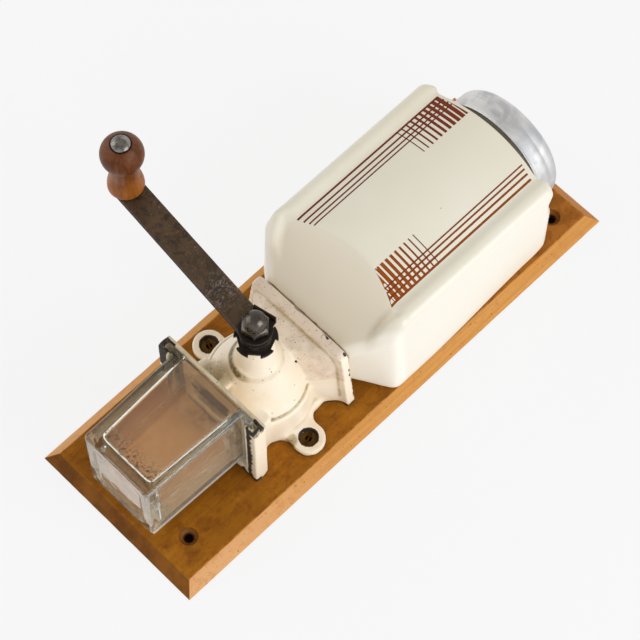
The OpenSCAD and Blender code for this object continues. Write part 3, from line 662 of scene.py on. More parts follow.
def mayRound(start, normals):  # false where other pieces fit in and the shape is kept
    x, y, z = start.T
    foot, shaftX = casting["foot"], casting["shaftX"]
    fromShaft = np.hypot(x - shaftX, y)
    inward = normals[:, 0] * (x - shaftX) + normals[:, 1] * y < 0
    inside = (fromShaft < 34) & (inward | (z < foot + 0.6)) | (fromShaft < 9.5)
    groove = (x < casting["plateX"] + 0.6) & (x > casting["railX"] + 1.8)
    ears = fromEars(x, y) < casting["earHole"]
    ledge = (np.abs(z - casting["shoulder"]) < 3.4) & (fromShaft > 30.5) & (fromShaft < 38.5)
    return ~(inside | groove | ears | ledge | (x > casting["seatX"]) | (z < foot + 0.4))


def enamelWear(points, start, normals, ridge, seam):  # how much each point is chipped, soiled and rubbed; the soiling also holds painted shade
    x, y, z = start.T
    nx, ny, nz = normals.T
    away = np.abs(y)
    shaftX, plateX, railX, top, foot = (casting[k] for k in ("shaftX", "plateX", "railX", "top", "foot"))
    fromShaft = np.hypot(x - shaftX, y)
    coarse = noiseAt(points, 0.20, 3.0)
    left = y > 0  # the side away from the camera is worn more

    onRail = (x < plateX + 1.5) & (away > 36)
    ragged = ease(41.4 + 1.4 * coarse + 2.2 * noiseAt(points, 0.3, 4.0) - away, 1.0)
    ragged = np.maximum(ragged, left * ease(z - top + 34 + 14 * coarse, 4))
    lip = ((away > 37) & (x < railX + 3) & (nx < -0.45)) * ragged
    lipSide = (away > 35) & (away < 39.5) & (x < railX + 3.2) & (ny * y < -15)
    lipEdge = (away > 37) * ease(railX + 1.5 - x, 1.2) * np.where(left, 1, 0.2)
    leg = (x < -96) * (away > 30) * ease(casting["railFoot"] + 3.4 + 4 * coarse - z, 1.6)
    railTop = (onRail & (z > top - 5)) * np.where(left, 0.72, 0.45)
    seatEdge = ease(x - casting["seatEdge"], 1.6) * (nx < 0.75)
    seatNoise = noiseAt(points * (1, 0.45, 0.45), 0.25, 6.0)
    flakes = np.clip(noiseAt(points, 0.19, 8.0) - 0.30, 0, 1) * ease(x - casting["seatEdge"] + 0.8, 1.6)
    contact = ease(foot + 3.6 + 2 * coarse - z, 1.3)
    earHoles = ease(casting["earHole"] - fromEars(x, y), 1.0) * (z > foot + 1)
    chip = np.maximum.reduce([
        np.where(onRail, np.where(y < -41, 0.3, 0.8), 0.2) * ridge * (0.8 + 1.1 * coarse),
        lip * (0.78 + 0.3 * coarse), lipSide * (0.7 + 0.5 * coarse), lipEdge * (0.55 + 0.9 * coarse),
        leg * (0.8 + 0.4 * coarse), railTop * (1 + 0.9 * coarse), seatEdge * (0.40 + 0.62 * seatNoise),
        3.4 * flakes * (nx < 0.75) * (z > 30), contact * (0.66 + 0.5 * coarse), earHoles * 0.85])

    ringWay = np.hypot(fromShaft - casting["ringRadius"] - 0.4, z - casting["ringZ"])
    facingLeft = ease(0.9 * y - 0.7 * (x - shaftX), 14)
    # grime behind the plate, partly painted shade where the plate shades the bell
    behindPlate = ease(plateX + 30 - x, 14) * (x > plateX + 2) * (z > 26)
    behindPlate = behindPlate * ease(y + 6, 14) * ease(z - 30, 14) * ease(34 - y, 10)
    throat = ease(x + 52, 10) * (x < -29) * (z > 45) * (fromShaft > 20)
    plateEdge = (x < plateX + 5) * ease(z - top + 3.2, 2)
    chuteY, chuteZ = casting["chute"]  # coffee clings to the plate above it, and the dark there is partly painted shade of the chute
    spill = ease(17 - np.abs(z - chuteZ), 14) * ease(27 - np.abs(y - chuteY), 18)
    spill = spill * (x < plateX + 1.2) * (nx < -0.7)
    crease = ease(1.2 - np.abs(x - casting["creaseX"]), 1.0) * (z > 20)
    earTop = (z < 18) * (nz > 0.4)
    # the ears beside the drum get grime and a painted shadow that the drum casts on the left ear
    leftEar = ease(46 - fromShaft, 8) * (y > 20) * earTop
    rightEar = ease(42 - fromShaft, 6) * (y < -20) * earTop
    # grime and painted shade together: the seam line is also a painted shadow of the step, and the band at
    # the foot is darker towards the board
    soiled = [ease(4.8 - ringWay, 4.0) * (0.34 + 0.8 * facingLeft), 0.62 * behindPlate,
              0.10 * throat * (0.8 + 0.8 * coarse), 0.5 * plateEdge,
              spill * (1.7 + 2.2 * noiseAt(points, 0.1, 5.0)), 0.5 * crease * (0.85 + 0.4 * coarse),
              0.6 * ease(2.0 - seam, 1.6) * (0.9 + 0.3 * coarse), 0.8 * ease(foot + 4.4 - z, 3),
              0.55 * leftEar + 0.12 * rightEar]
    for px, py, pz, size, strength in smudges:
        way = np.sqrt((x - px) ** 2 + (y - py) ** 2 + (z - pz) ** 2)
        soiled.append(strength * smooth((size - way) / size * 1.6))
    flange = (x > casting["creaseX"]) * (z > 40) * ease(nz - 0.45, 0.3)
    return {"chip": chip, "dirt": np.maximum.reduce(soiled),
            "rubbed": np.maximum(flange, throat * (0.75 + 0.6 * coarse))}


def makeCasting():
    mesh = mergedCopy("mill_body", "castHousing")
    mesh = throughModifiers(mesh, ("REMESH", {"mode": "VOXEL", "voxel_size": casting["voxel"] * mm}))
    points = readPoints(mesh)
    start = points.copy()
    edges = readFlat(mesh.edges, "vertices", 2)
    count = np.bincount(edges.ravel(), minlength=len(points)).astype(float)

    def pull(values):  # towards the middle of each point's neighbours
        return neighbourMean(values, edges, count) - values

    for i in range(casting["edgeRounds"]):
        points += 0.5 * pull(points)
    writePoints(mesh, points)
    free = mayRound(start, readNormals(mesh))
    free = neighbourMean(free[:, None].astype(float), edges, count)[:, 0]
    for i in range(casting["filletRounds"]):  # fills the inner corners with soft rounds
        if i % 4 == 0:
            normals = readNormals(mesh)
        move = pull(points)
        outwards = (move * normals).sum(1)
        points += move * (free * np.clip(outwards / 0.02, 0, 1) * 0.6)[:, None]
        if i % 4 == 3:
            writePoints(mesh, points)
    for i in range(3):
        points += 0.3 * free[:, None] * pull(points)
    writePoints(mesh, points)

    normals = readNormals(mesh)
    soft = points.copy()
    for i in range(casting["softRounds"]):
        soft += 0.6 * pull(soft)
    bend = ((soft - points) * normals).sum(1) / 0.9
    fromShaft = np.hypot(start[:, 0] - casting["shaftX"], start[:, 1])
    seam = np.hypot(fromShaft - casting["bellRadius"], start[:, 2] - casting["shoulder"] - 0.3)
    wear = enamelWear(points, start, normals, np.clip(-bend, 0, 1), seam)
    wear["hollow"] = np.clip(bend, 0, 1)
    wave = (noiseAt(points, 0.07, 1.0) - 0.5) * free * casting["wobble"]
    dent = np.clip((wear["chip"] - 0.35) * 2, 0, 1) * casting["chipDepth"] * free
    parting = ease(1.5 - seam, 1.3) * casting["parting"]
    writePoints(mesh, points + normals * (wave - dent - parting)[:, None])
    for name, values in wear.items():
        kept = mesh.attributes.new(name, "FLOAT", "POINT")
        kept.data.foreach_set("value", np.asarray(values, np.float32))
    return pieceFrom(mesh, enamel(), "frame", "cream_enamel", "mill_body", sharp=80)


makeCasting()
print("housing made")


# Screws in the ears

earScrew = {"Count": 2, "Span": 95.2 * mm, "Head radius": 5.6 * mm, "Head height": 1.2 * mm,
            "Slot width": 1.4 * mm, "Slot depth": 0.9 * mm, "Sink height": 3.0 * mm,
            "Shank radius": 2.2 * mm, "Shank length": 11.0 * mm, "First turn": 0.35, "Turn": 0.9,
            "Finish": metal["rustyScrew"],
            "Place": (-66 * mm, -95.2 / 2 * mm, 13.55 * mm)}  # underside of the first head


def growTree(name, sizes):  # an empty node tree with one named input for each size
    tree = workOn(bpy.data.node_groups.new(name, "GeometryNodeTree"))
    tree.interface.new_socket("Geometry", in_out="OUTPUT", socket_type="NodeSocketGeometry")
    kinds = {int: "Int", float: "Float", bool: "Bool", tuple: "Vector",
             bpy.types.Material: "Material", bpy.types.Object: "Object"}
    for key, value in sizes.items():
        tree.interface.new_socket(key, in_out="INPUT", socket_type="NodeSocket" + kinds[type(value)])
    sockets = tree.nodes.new("NodeGroupInput").outputs
    return tree, {key: Wire(sockets[key]) for key in sizes}


def endTree(shape, finish):
    whole = put("GeometryNodeRealizeInstances", {"Geometry": shape})
    inked = put("GeometryNodeSetMaterial", {"Geometry": whole, "Material": finish})
    feed(inked, treeInHand.nodes.new("NodeGroupOutput").inputs[0])


def runTree(name, tree, sizes):  # the tree's shape as a plain mesh
    holder = inScene(name, bpy.data.meshes.new(name))
    modifier = holder.modifiers.new("grow", "NODES")
    modifier.node_group = tree
    for item in tree.interface.items_tree:
        if item.in_out == "INPUT":
            modifier[item.identifier] = sizes[item.name]
    return taken(holder)


def raised(shape, z):
    return put("GeometryNodeTransform", {"Geometry": shape, "Translation": vector(z=z)})


def makeEarScrews():
    tree, size = growTree("earScrews", earScrew)
    wide, thin = size["Head radius"], size["Shank radius"]
    head = put("GeometryNodeMeshCone", {"Vertices": 48, "Side Segments": 3, "Radius Top": wide * 0.84,
                                        "Radius Bottom": wide, "Depth": size["Head height"]})
    bar = vector(wide * 3.0, size["Slot width"], size["Slot depth"] * 1.4)
    slot = put("GeometryNodeMeshCube", {"Size": bar})
    slot = raised(slot, size["Head height"] - size["Slot depth"] * 0.5)
    head = put("GeometryNodeMeshBoolean", {"Mesh 1": head, "Mesh 2": slot}, "Mesh", operation="DIFFERENCE")
    sink = put("GeometryNodeMeshCone", {"Vertices": 48, "Radius Top": wide, "Radius Bottom": thin,
                                        "Depth": size["Sink height"]})
    shank = put("GeometryNodeMeshCylinder", {"Vertices": 32, "Radius": thin, "Depth": size["Shank length"]})
    screw = put("GeometryNodeJoinGeometry", {0: [raised(shank, size["Shank length"] * -0.5),
                                                 raised(sink, size["Sink height"] * -1.0), head]})
    line = put("GeometryNodeMeshLine", {"Count": size["Count"], "Start Location": size["Place"],
                                        "Offset": vector(y=size["Span"])})
    spin = put("GeometryNodeInputIndex") * size["Turn"] + size["First turn"]
    screws = put("GeometryNodeInstanceOnPoints", {"Points": line, "Instance": screw,
                                                  "Rotation": vector(z=spin)})
    endTree(screws, size["Finish"])
    mesh = runTree("earScrews", tree, earScrew)
    return pieceFrom(mesh, None, "frame", "rusty_steel", "ear_screws")


makeEarScrews()
print("ear screws grown")


# Ceramic jar

jar = dict(
    x0=-21.5, x1=151.5, half=60.5, footHalf=38.2, flare=0.77, sideFlare=1.02, back=10.5, footRise=14.0,
    footLong=24.0, crown=101.5, footZ=66.5, panelRadius=120.0, panelHalf=43.5, ridge=7.0, ridgeEase=12.5,
    edge=8.0, heelEdge=6.5, heel=15.0, splay=3.6, splayIn=(-14, 20), splayOut=(30, 110), lobe=5.4,
    lobeNose=(-13.0, 8.0), lobeTop=(8.0, 10), lobeZ=(45, 20), lobeMost=54.0, lobeHalf={1: 47.1, -1: 48.0},
    lobeDraw={1: 0.65, -1: 0.2}, lobeWide={1: 12.0, -1: 6.5}, earRound={1: 8.5, -1: 6.0},
    earReach={1: 1.5, -1: 0.8}, bow={1: 1.6, -1: 2.4}, bowReach=1.2, bowHalf=45, bowMiddle=40, bowX=104.0,
    bowZ=(66, 16), bowY=(45, 6), earZ=(74, 6), earY=(46, 6), backY=(30, 22), wall=6.0, footWall=8.0,
    setBack=-0.8, notch=4.2, notchZ=75.0, spoon={1: 0.2, -1: 3.2}, spoonAt=(3.0, 43.8),
    spoonSize=(8.5, 3.3), neckZ=55.5, neckRadius=43.5, neckEnd=170.5, rim=2.5, mouthRadius=37.0,
    feedHalf=27.0, feedLow=23.86, feedHigh=59.86, lip=1.4, fullX=66.0, screwY=33.0, screwRadius=3.0)
glazeTones = dict(
    cream=((236, 228, 206), (241, 234, 215)), iron=(150, 120, 84), underCap=(70, 60, 28),
    # the slope tone is painted shade; the right side and foot wall tones are painted light
    slope=(228, 214, 190), rightSide=(239, 233, 220), thick=(249, 242, 227), grime=(92, 66, 34))


def softMin(a, b, k):
    return np.minimum(a, b) - k * np.log1p(np.exp(-np.abs(a - b) / k))


def endDrop(x, r):  # how far a round of radius r has fallen at x, towards the jar's upper end
    return 0.0 if x < jar["x1"] - r else r - math.sqrt(max(0.0, r * r - (x - jar["x1"] + r) ** 2))


def lipDrop(x):  # small rounds at both ends of the body
    r = jar["lip"]
    near = max(0.0, min(x - jar["x0"], jar["x1"] - x))
    return 0.0 if near > r else r - math.sqrt(max(0.0, r * r - (r - near) ** 2))


def jarFront(x, y, side):
    panel = jar["crown"] - y * y / (2 * jar["panelRadius"])
    ridge = jar["ridge"] - endDrop(x, jar["earRound"][side])
    panel = panel + ease(y - jar["panelHalf"], jar["ridgeEase"]) * ridge
    return softMin(panel, jar["footZ"] + jar["flare"] * (x - jar["x0"]), 1.0)


def jarHalf(x, side, inset):  # half a section, from the middle of the front to the middle of the back
    drop = inset + (lipDrop(x) if inset == 0 else 0)
    spread = jar["footHalf"] + jar["sideFlare"] * (x - jar["x0"])
    half = float(softMin(jar["half"], spread, 1.2)) - endDrop(x, jar["earRound"][side]) - drop
    edge = jar["edge"] - inset / 2
    lean = 0.0  # the round edge takes up the slope that the front arrives with
    for i in range(4):
        flat = half - edge * (1 + math.sin(lean))
        ends = jarFront(x, np.array([flat - 0.2, flat]), side)
        lean = math.atan2(ends[1] - ends[0], 0.2)
    y = np.linspace(0, half - edge * (1 + math.sin(lean)), 61)
    front = np.stack([y, jarFront(x, y, side) - drop], 1)
    cornerZ = front[-1, 1] - edge * math.cos(lean)
    turn = np.linspace(-lean, math.pi / 2, 22)[1:]
    corner = np.stack([half - edge + edge * np.sin(turn), cornerZ + edge * np.cos(turn)], 1)
    curl = jar["heelEdge"] - inset / 2 + endDrop(x, jar["heel"])
    low = jar["back"] + drop + jar["footRise"] * max(0.0, 1 - (x - jar["x0"]) / jar["footLong"]) ** 1.4
    wide = half + jar["splay"] * past(x, jar["splayIn"]) * (1 - past(x, jar["splayOut"]))  # at the back
    share = np.linspace(0, 1, 9)[1:-1]
    wall = np.stack([half + (wide - half) * share, cornerZ + (low + curl - cornerZ) * share], 1)
    turn = np.radians(np.linspace(0, 90, 17))
    heel = np.stack([wide - curl * (1 - np.cos(turn)), low + curl * (1 - np.sin(turn))], 1)
    base = np.stack([np.linspace(wide - curl, 0, 16)[1:], np.full(15, low)], 1)
    return np.concatenate([front, corner, wall, heel, base])


def jarRing(x, inset):  # one closed section of the jar, drawn in by inset
    right, left = (jarHalf(x, side, inset) for side in (-1, 1))
    loop = np.concatenate([left[:-1], (right * (-1, 1))[:0:-1]])
    return section(x, *loop.T)


def roundFrom(ring, x, radius):  # circle about the neck, point for point along the ring's directions
    angle = np.arctan2(ring[:, 2] - jar["neckZ"], ring[:, 1])
    return section(x, radius * np.cos(angle), jar["neckZ"] + radius * np.sin(angle))


def feedFrom(ring, x):  # the feed opening's rectangle, in the same way
    middle = (jar["feedLow"] + jar["feedHigh"]) / 2
    high = (jar["feedHigh"] - jar["feedLow"]) / 2
    angle = np.arctan2(ring[:, 2] - middle, ring[:, 1])
    reach = np.minimum(jar["feedHalf"] / np.maximum(np.abs(np.cos(angle)), 1e-6),
                       high / np.maximum(np.abs(np.sin(angle)), 1e-6))
    return section(x, reach * np.cos(angle), middle + reach * np.sin(angle))


def bowed(ring):  # the upper end is cut in a slight bow
    x, y, z = ring.T
    away = np.abs(y)

    def bySide(key):
        return np.where(y > 0, jar[key][1], jar[key][-1])

    bow = bySide("bow") * np.minimum(away / jar["bowHalf"], 1) ** 2
    bow = bow - jar["bowReach"] * (1 - np.minimum(away / jar["bowMiddle"], 1) ** 2)
    bow = bow * past(z, jar["bowZ"]) * (1 - past(away, jar["bowY"]))
    ear = bySide("earReach") * past(away, jar["earY"]) * past(z, jar["earZ"])  # the ears stand out again
    back = jar["setBack"] * ease(76 - z, 8) + jar["notch"] * np.exp(-((z - jar["notchZ"]) / 5) ** 2)
    back = back * past(away, jar["backY"])
    out = ring.copy()
    out[:, 0] += (ear - bow - back) * ease(x - jar["bowX"], jar["x1"] - jar["bowX"])
    (spoonX, spoonY), (long, wide) = jar["spoonAt"], jar["spoonSize"]  # the grooves run out there
    deep = np.exp(-((x - spoonX) / long) ** 2 - ((away - spoonY) / wide) ** 2)
    out[:, 2] -= bySide("spoon") * (z > 60) * deep
    inner = np.minimum(jar["lobeMost"], bySide("lobeHalf") + bySide("lobeDraw") * x)
    lobe = past(x, jar["lobeNose"]) * (1 - past(x, jar["lobeTop"])) * past(z, jar["lobeZ"])
    out[:, 2] += jar["lobe"] * lobe * smooth((away - inner) / bySide("lobeWide") + 0.5)
    return out


def glaze():
    material, tone = startMaterial("creamGlaze"), glazeTones
    x0, x1, neck = jar["x0"], jar["x1"], jar["neckRadius"]
    x, y, z = whereIs()
    smear = cloud(90.0, 3.0)
    fromNeck = distance(y, z - jar["neckZ"])
    neckRing = rise(x, x1 + 0.2, x1 + 0.9) * fall(x, x1 + 3, x1 + 9)
    neckRing = neckRing * fall(fromNeck, neck + 0.9, neck + 1.8)
    arch = y * y * (1 / (2 * jar["panelRadius"] * jar["flare"])) + x
    ends = x0 + (jar["crown"] - jar["footZ"]) / jar["flare"]  # where the panel meets the slope
    # painted shade: the foot slope is painted darker below the panel's edge and towards the foot
    slope = fall(arch, ends - 1.8, ends + 0.6) * 0.40 + fall(x, 0, 28) * 0.32
    wall = jar["footHalf"] - jar["sideFlare"] * x0  # the foot's side walls are painted whiter: painted light
    colour = washed(
        blend(rise(cloud(9.0, 3.0), 0.3, 0.7), *tone["cream"]), tone,
        iron=fall(cells(95.0), 0.03, 0.07) * calc("LESS_THAN", cellKind(95.0), 0.06) * 0.5,
        # the neck under the lid is painted dark olive: partly a stain, partly painted shade under the lid
        underCap=neckRing * 0.95,
        slope=slope * fall(abs(y), 44, 50),
        # painted light: the right side wall is painted whiter and less yellow
        rightSide=fall(y, -60, -54) * 0.6,
        # painted light on the foot's side walls
        thick=rise(abs(y) - x * jar["sideFlare"], wall - 10, wall - 3) * 0.85,
        grime=fall(x - smear * 2.2, x0 - 0.9, x0 - 0.1) * between(smear, 0.5, 1.0))
    return dress(material, {
        "Base Color": colour, "Roughness": between(cloud(900.0, 2.0), 0.26, 0.36), "Coat Weight": 0.12,
        "Coat Roughness": 0.1, "Normal": bumped(cloud(34.0, 2.0), 0.0006, 0.25)})


def makeJar():
    x0, x1, lip, wall, radius = (jar[k] for k in ("x0", "x1", "lip", "wall", "neckRadius"))
    turn = np.radians(np.linspace(0, 90, 9))
    flare = np.linspace(x0 + lip, jar["fullX"], 62)[1:]
    body = np.linspace(jar["fullX"], x1 - jar["heel"], 14)[1:]
    ears = x1 - jar["heel"] * (1 - np.sin(np.radians(np.linspace(0, 84, 24))))[1:]
    start, end = x0 + lip * (1 - np.cos(turn)), x1 - lip * (1 - np.sin(turn))
    stations = sorted(set(np.round(np.concatenate([start, flare, body, ears, end]), 4)))
    outer = [bowed(jarRing(x, 0)) for x in stations]
    last = jarRing(x1, 0)
    face = [bowed(last + (roundFrom(last, x1, radius + 0.8) - last) * t) for t in (0.3, 0.7, 1.0)]
    rimX = jar["neckEnd"] - jar["rim"]
    middle, thick = (radius + jar["mouthRadius"]) / 2, (radius - jar["mouthRadius"]) / 2
    steps = [(x1 + 0.8, radius + 0.1), (x1 + 2, radius), (rimX, radius)]
    steps += [(rimX + jar["rim"] * px, middle + thick * pr) for px, pr in arc(0, 0, 1, 90, -90, 10)]
    neck = [roundFrom(last, *step) for step in steps]
    deep = [jarRing(x, wall) for x in np.linspace(x0 + jar["footWall"], x1 - wall - 1, 40)]
    mouth = [roundFrom(deep[-1], x1 - wall + 1, jar["mouthRadius"]),
             roundFrom(deep[-1], x1 - wall - 1, jar["mouthRadius"] + 2.0)]
    foot = [feedFrom(deep[0], x0 + jar["footWall"]), feedFrom(deep[0], x0)]
    mesh = lofted("ceramicJar", outer + face + neck + mouth + deep[::-1] + foot, wrap=True)
    screwZ = (jar["feedLow"] + jar["feedHigh"]) / 2
    holes = [bored("hole", jar["screwRadius"], -2, 12, (x0, y, screwZ), "X")
             for y in (-jar["screwY"], jar["screwY"])]
    return pieceFrom(without(mesh, *holes), glaze(), "frame", "jar_glaze", "jar", sharp=40)


jarPiece = makeJar()
print("jar made")


# Striped decor on the jar's front

decor = {"Thickness": 0.12, "Lift": 0.02, "Edge": 24.0, "Edge bend": 10.3, "Edge half": 43.0,
         "Far end": 150.0, "Far bend": 3.0}
decorRows = [  # lines run along the jar and count against +Y, bars run across it
    {"Crosswise": False, "Count": 4, "Parts": 90, "First": -43.9, "Step": 4.93, "Bend": -0.34,
     "Start": 14.6, "Start step": 1.2, "End": 150.0, "End step": 0.3,
     "First width": 1.45, "Last width": 0.95},
    {"Crosswise": False, "Count": 4, "Parts": 90, "First": 43.1, "Step": -4.25, "Bend": 0.25, "Start": 10.0,
     "Start step": 0.0, "End": 145.1, "End step": 0.8, "First width": 1.45, "Last width": 0.95},
    {"Crosswise": True, "Count": 11, "Parts": 40, "First": 107.6, "Step": 4.19, "Bend": 0.0, "Start": 18.7,
     "Start step": 0.0, "End": 43.7, "End step": 0.0, "First width": 0.7, "Last width": 3.3},
    {"Crosswise": True, "Count": 11, "Parts": 40, "First": 57.7, "Step": -4.2, "Bend": 0.0, "Start": -43.2,
     "Start step": 0.0, "End": -19.0, "End step": 0.0, "First width": 0.7, "Last width": 3.3}]
inkTones = dict(
    warm=((166, 80, 14), (128, 52, 30)), fleck=(120, 48, 12), rim=((108, 40, 6), (96, 34, 16)))


def stripeInk():
    material, tone = startMaterial("stripeInk"), inkTones
    wide = reading("wide")
    rim = wide * 0.5 - wide * abs(reading("across"))
    left = calc("GREATER_THAN", whereIs()[1], 0.0)  # the stripes on this side are darker
    fleck = cloud(420.0, 4.0)
    warm = blend(rise(fleck, 0.45, 0.7) * 0.35, blend(left, *tone["warm"]), tone["fleck"])
    return dress(material, {
        "Base Color": blend(fall(rim, 0.2 * mm, 0.6 * mm), warm, blend(left, *tone["rim"])),
        "Specular IOR Level": 0.15, "Roughness": between(fleck, 0.22, 0.4)})


def stripeTree(sizes):
    tree, size = growTree("stripes", sizes)
    index = put("GeometryNodeInputIndex")
    share = calc("DIVIDE", index, size["Count"] - 1.0)
    wide = between(share, size["First width"], size["Last width"])
    start = index * size["Start step"] + size["Start"]
    end = index * size["End step"] + size["End"]
    across = index * size["Step"] + size["First"] + index * index * size["Bend"]
    bar = put("GeometryNodeMeshCube", {"Size": (1, 1, 1), "Vertices X": 2, "Vertices Y": size["Parts"],
                                       "Vertices Z": 2})
    bar = put("GeometryNodeStoreNamedAttribute", data_type="FLOAT", domain="POINT", inputs={
        "Geometry": bar, "Name": "across", "Value": split(put("GeometryNodeInputPosition"))[0]})
    line = put("GeometryNodeMeshLine", {"Count": size["Count"], "Offset": (0, 0, 0)})
    row = put("GeometryNodeInstanceOnPoints", {"Points": line, "Instance": bar,
                                               "Scale": vector(wide, end - start, size["Thickness"])})
    row = put("GeometryNodeStoreNamedAttribute", data_type="FLOAT", domain="INSTANCE", inputs={
        "Geometry": row, "Name": "wide", "Value": wide})
    row = put("GeometryNodeTranslateInstances", {"Instances": row, "Local Space": False,
                                                 "Translation": vector(across, (start + end) * 0.5)})
    flat = put("GeometryNodeRealizeInstances", {"Geometry": row})
    u, v, w = split(put("GeometryNodeInputPosition"))

    def pick(along, crosswise):
        return put("GeometryNodeSwitch", input_type="FLOAT", inputs={
            "Switch": size["Crosswise"], "False": along, "True": crosswise})

    x, y = pick(v, u), pick(u * -1.0, v)
    away = calc("DIVIDE", y, size["Edge half"])  # the panel's lower edge cuts what runs over it
    x = higher(x, size["Edge"] - away * away * size["Edge bend"])
    x = calc("MINIMUM", x, size["Far end"] - away * away * size["Far bend"])
    target = put("GeometryNodeObjectInfo", {"Object": size["Jar"]}, out="Geometry")
    hit = put("GeometryNodeRaycast", out="Hit Position", inputs={
        "Target Geometry": target, "Source Position": vector(x, y, 0.2), "Ray Direction": (0, 0, -1),
        "Ray Length": 1.0})
    laid = vector(x, y, split(hit)[2] + w + size["Lift"])
    laid = put("GeometryNodeSetPosition", {"Geometry": flat, "Position": laid})
    endTree(put("GeometryNodeMergeByDistance", {"Geometry": laid, "Distance": 0.00001}), size["Finish"])
    return tree


def makeDecor():
    ink = stripeInk()
    tree, parts = None, []
    for row in decorRows:
        sizes = {"Jar": jarPiece, "Finish": ink}
        for key, value in (decor | row).items():
            sizes[key] = value * mm if isinstance(value, float) else value
        tree = tree or stripeTree(sizes)
        parts.append(runTree("stripes", tree, sizes))
    mesh = reworked(bpy.data.meshes.new("decorStripes"), *[
        lambda work, part=part: work.from_mesh(part) for part in parts])
    return pieceFrom(mesh, ink, "frame", "jar_glaze")


makeDecor()
print("decor grown")


# Pressed cap

lid = dict(
    x=155.3, length=23.2, radius=45.0, sheet=1.0, round=9.0, bead=1.1, dent=0.12, tread=0.45, step=0.5,
    grooveZ=12.1, bore=44.05)
lidTones = dict(
    bright=((222, 219, 216), (236, 234, 231)), cloudy=(168, 170, 174), scratch=(226, 226, 224),
    # painted shade for the side facing the main lamp:
    handled=(182, 183, 184))


def pressedAluminium():
    material, tone = startMaterial("satinAluminium"), lidTones
    streak = cloud(1.0, 5.0, stretch=(260, 22, 22), rough=0.6, distort=0.6)
    cloudy = cloud(38.0, 4.0, distort=1.5)
    scratch = cloud(1.0, 3.0, stretch=(60, 900, 900), rough=0.7)
    colour = washed(
        blend(rise(streak, 0.3, 0.7), *tone["bright"]), tone,
        cloudy=rise(cloudy, 0.40, 0.66) * 0.5,
        scratch=rise(scratch, 0.66, 0.76) * 0.4,
        handled=fall(whereIs()[1], -36, 26) * 0.40)  # painted shade on the side facing the main lamp, dulling its highlight
    return dress(material, {
        "Base Color": colour, "Metallic": 1.0, "Roughness": between(cloudy, 0.5, 0.7),
        "Normal": bumped(streak * 0.5 + scratch * 0.5, 0.0002, 0.35)})


def makeLid():
    r, long, sheet, bead, bend = (lid[k] for k in ("radius", "length", "sheet", "bead", "round"))
    skirt, top, groove = r - lid["tread"], long - lid["step"], lid["grooveZ"]
    outer = arc(r - bead * 0.6, bead, bead * 0.6, -90, 60, 6)
    outer += [(skirt, bead * 2.2), (skirt, 8.0), (skirt, groove - 0.5), (skirt - 0.35, groove),
              (skirt - 0.2, groove + 0.7)]
    outer += arc(skirt - 0.2 - bend, long - bend, bend, 6, 84, 14)
    outer += [(skirt - bend - 3, long), (skirt - bend - 6, top)]
    outer += [(12.0, top), (10.5, top + 0.3), (0, top + 0.35)]  # a slight boss
    inner = [(0, top - sheet), (skirt - bend - 7, top - sheet)]
    inner += arc(skirt - bend, long - bend, bend - sheet, 84, 6, 12)
    inner += [(lid["bore"], 9.0), (lid["bore"], 0.6)]
    mesh = turned("lidCap", outer + inner, (lid["x"], 0, jar["neckZ"]), "X", 180, wrap=True)
    points = readPoints(mesh)
    away = np.hypot(points[:, 1], points[:, 2] - jar["neckZ"])
    shell = points[:, 0] > lid["x"] + 9  # hand dents on the round shoulder
    points[:, 0] += lid["dent"] * (noiseAt(points, 0.05, 9.0) - 0.6) * shell * ease(away - 4, 12)
    writePoints(mesh, points)
    return pieceFrom(mesh, pressedAluminium(), "lid", "lid_aluminium", "lid", sharp=50)


makeLid()
print("lid made")


# Glass cup

cup = dict(
    rimX=-104.3, endX=-188.0, rim=4.3, rimHalf=39.5, rimEdge=0.7, low=21.5, high=90.0, shift=1.7,
    mouthHalf=31.5, endHalf=29.5, wallSide=6.4, wallFace=4.2, wallEnd=8.2, edge=2.4, innerEdge=3.4,
    panelDeep=0.9, panelMargin=7.5, panelRound=8.0, panelEase=1.8, wobble=0.10, ior=1.5)
cupTones = dict(
    glass=(238, 245, 236), film=((244, 211, 170), (237, 196, 148)), stale=(84, 66, 54),
    crumbs=(82, 48, 26))


def squareRing(x, half, low, high, radius, sideParts=34, cornerParts=9):
    radius = min(radius, half * 0.98, (high - low) * 0.49)
    deep = (high - low) / 2
    bends = [arc(sy * (half - radius), sz * (deep - radius), radius, 90 * k, 90 * k + 90, cornerParts)
             for k, (sy, sz) in enumerate(((1, 1), (-1, 1), (-1, -1), (1, -1)))]
    path = []
    for bend, after in zip(bends, bends[1:] + bends[:1]):
        path += bend + np.linspace(bend[-1], after[0], sideParts + 2)[1:-1].tolist()
    y, z = np.array(path).T
    return section(x, y + cup["shift"], z + (low + high) / 2)


def panelDepth(u, v, halfU, halfV):  # sunk panel with round corners, on a face of the given half sizes
    r = cup["panelRound"]
    du = np.abs(u) - (halfU - cup["panelMargin"] - r)
    dv = np.abs(v) - (halfV - cup["panelMargin"] - r)
    out = np.hypot(np.maximum(du, 0), np.maximum(dv, 0)) + np.minimum(np.maximum(du, dv), 0) - r
    return cup["panelDeep"] * ease(-out, cup["panelEase"])


def cupGlass():
    material = startMaterial("mouldedGlass")
    y, z = whereIs()[1:]
    wear = cloud(1.0, 3.0, stretch=(700, 700, 160), rough=0.7)
    hairline = cloud(1.0, 3.0, stretch=(90, 500, 620), turn=(0, 0.5, 0.25), rough=0.7, distort=0.3)
    hazy = between(rise(hairline, 0.61, 0.65), 0.10, 0.42) * fall(y, -26.2, -25.2)
    strip = fall(z, 26.8, 28.8) * rise(abs(y - cup["shift"]), 28.3, 29.0)  # painted light: a pale band along the sides' lower edge, for light refracted from below
    return dress(material, {
        "Base Color": srgb(*cupTones["glass"]), "IOR": cup["ior"],
        "Roughness": between(rise(wear, 0.6, 0.75), 0.02, 0.18),
        "Transmission Weight": 1.0 - higher(hazy, strip * 0.48),
        "Normal": bumped(cloud(70.0, 2.0), 0.0006, 0.3)})


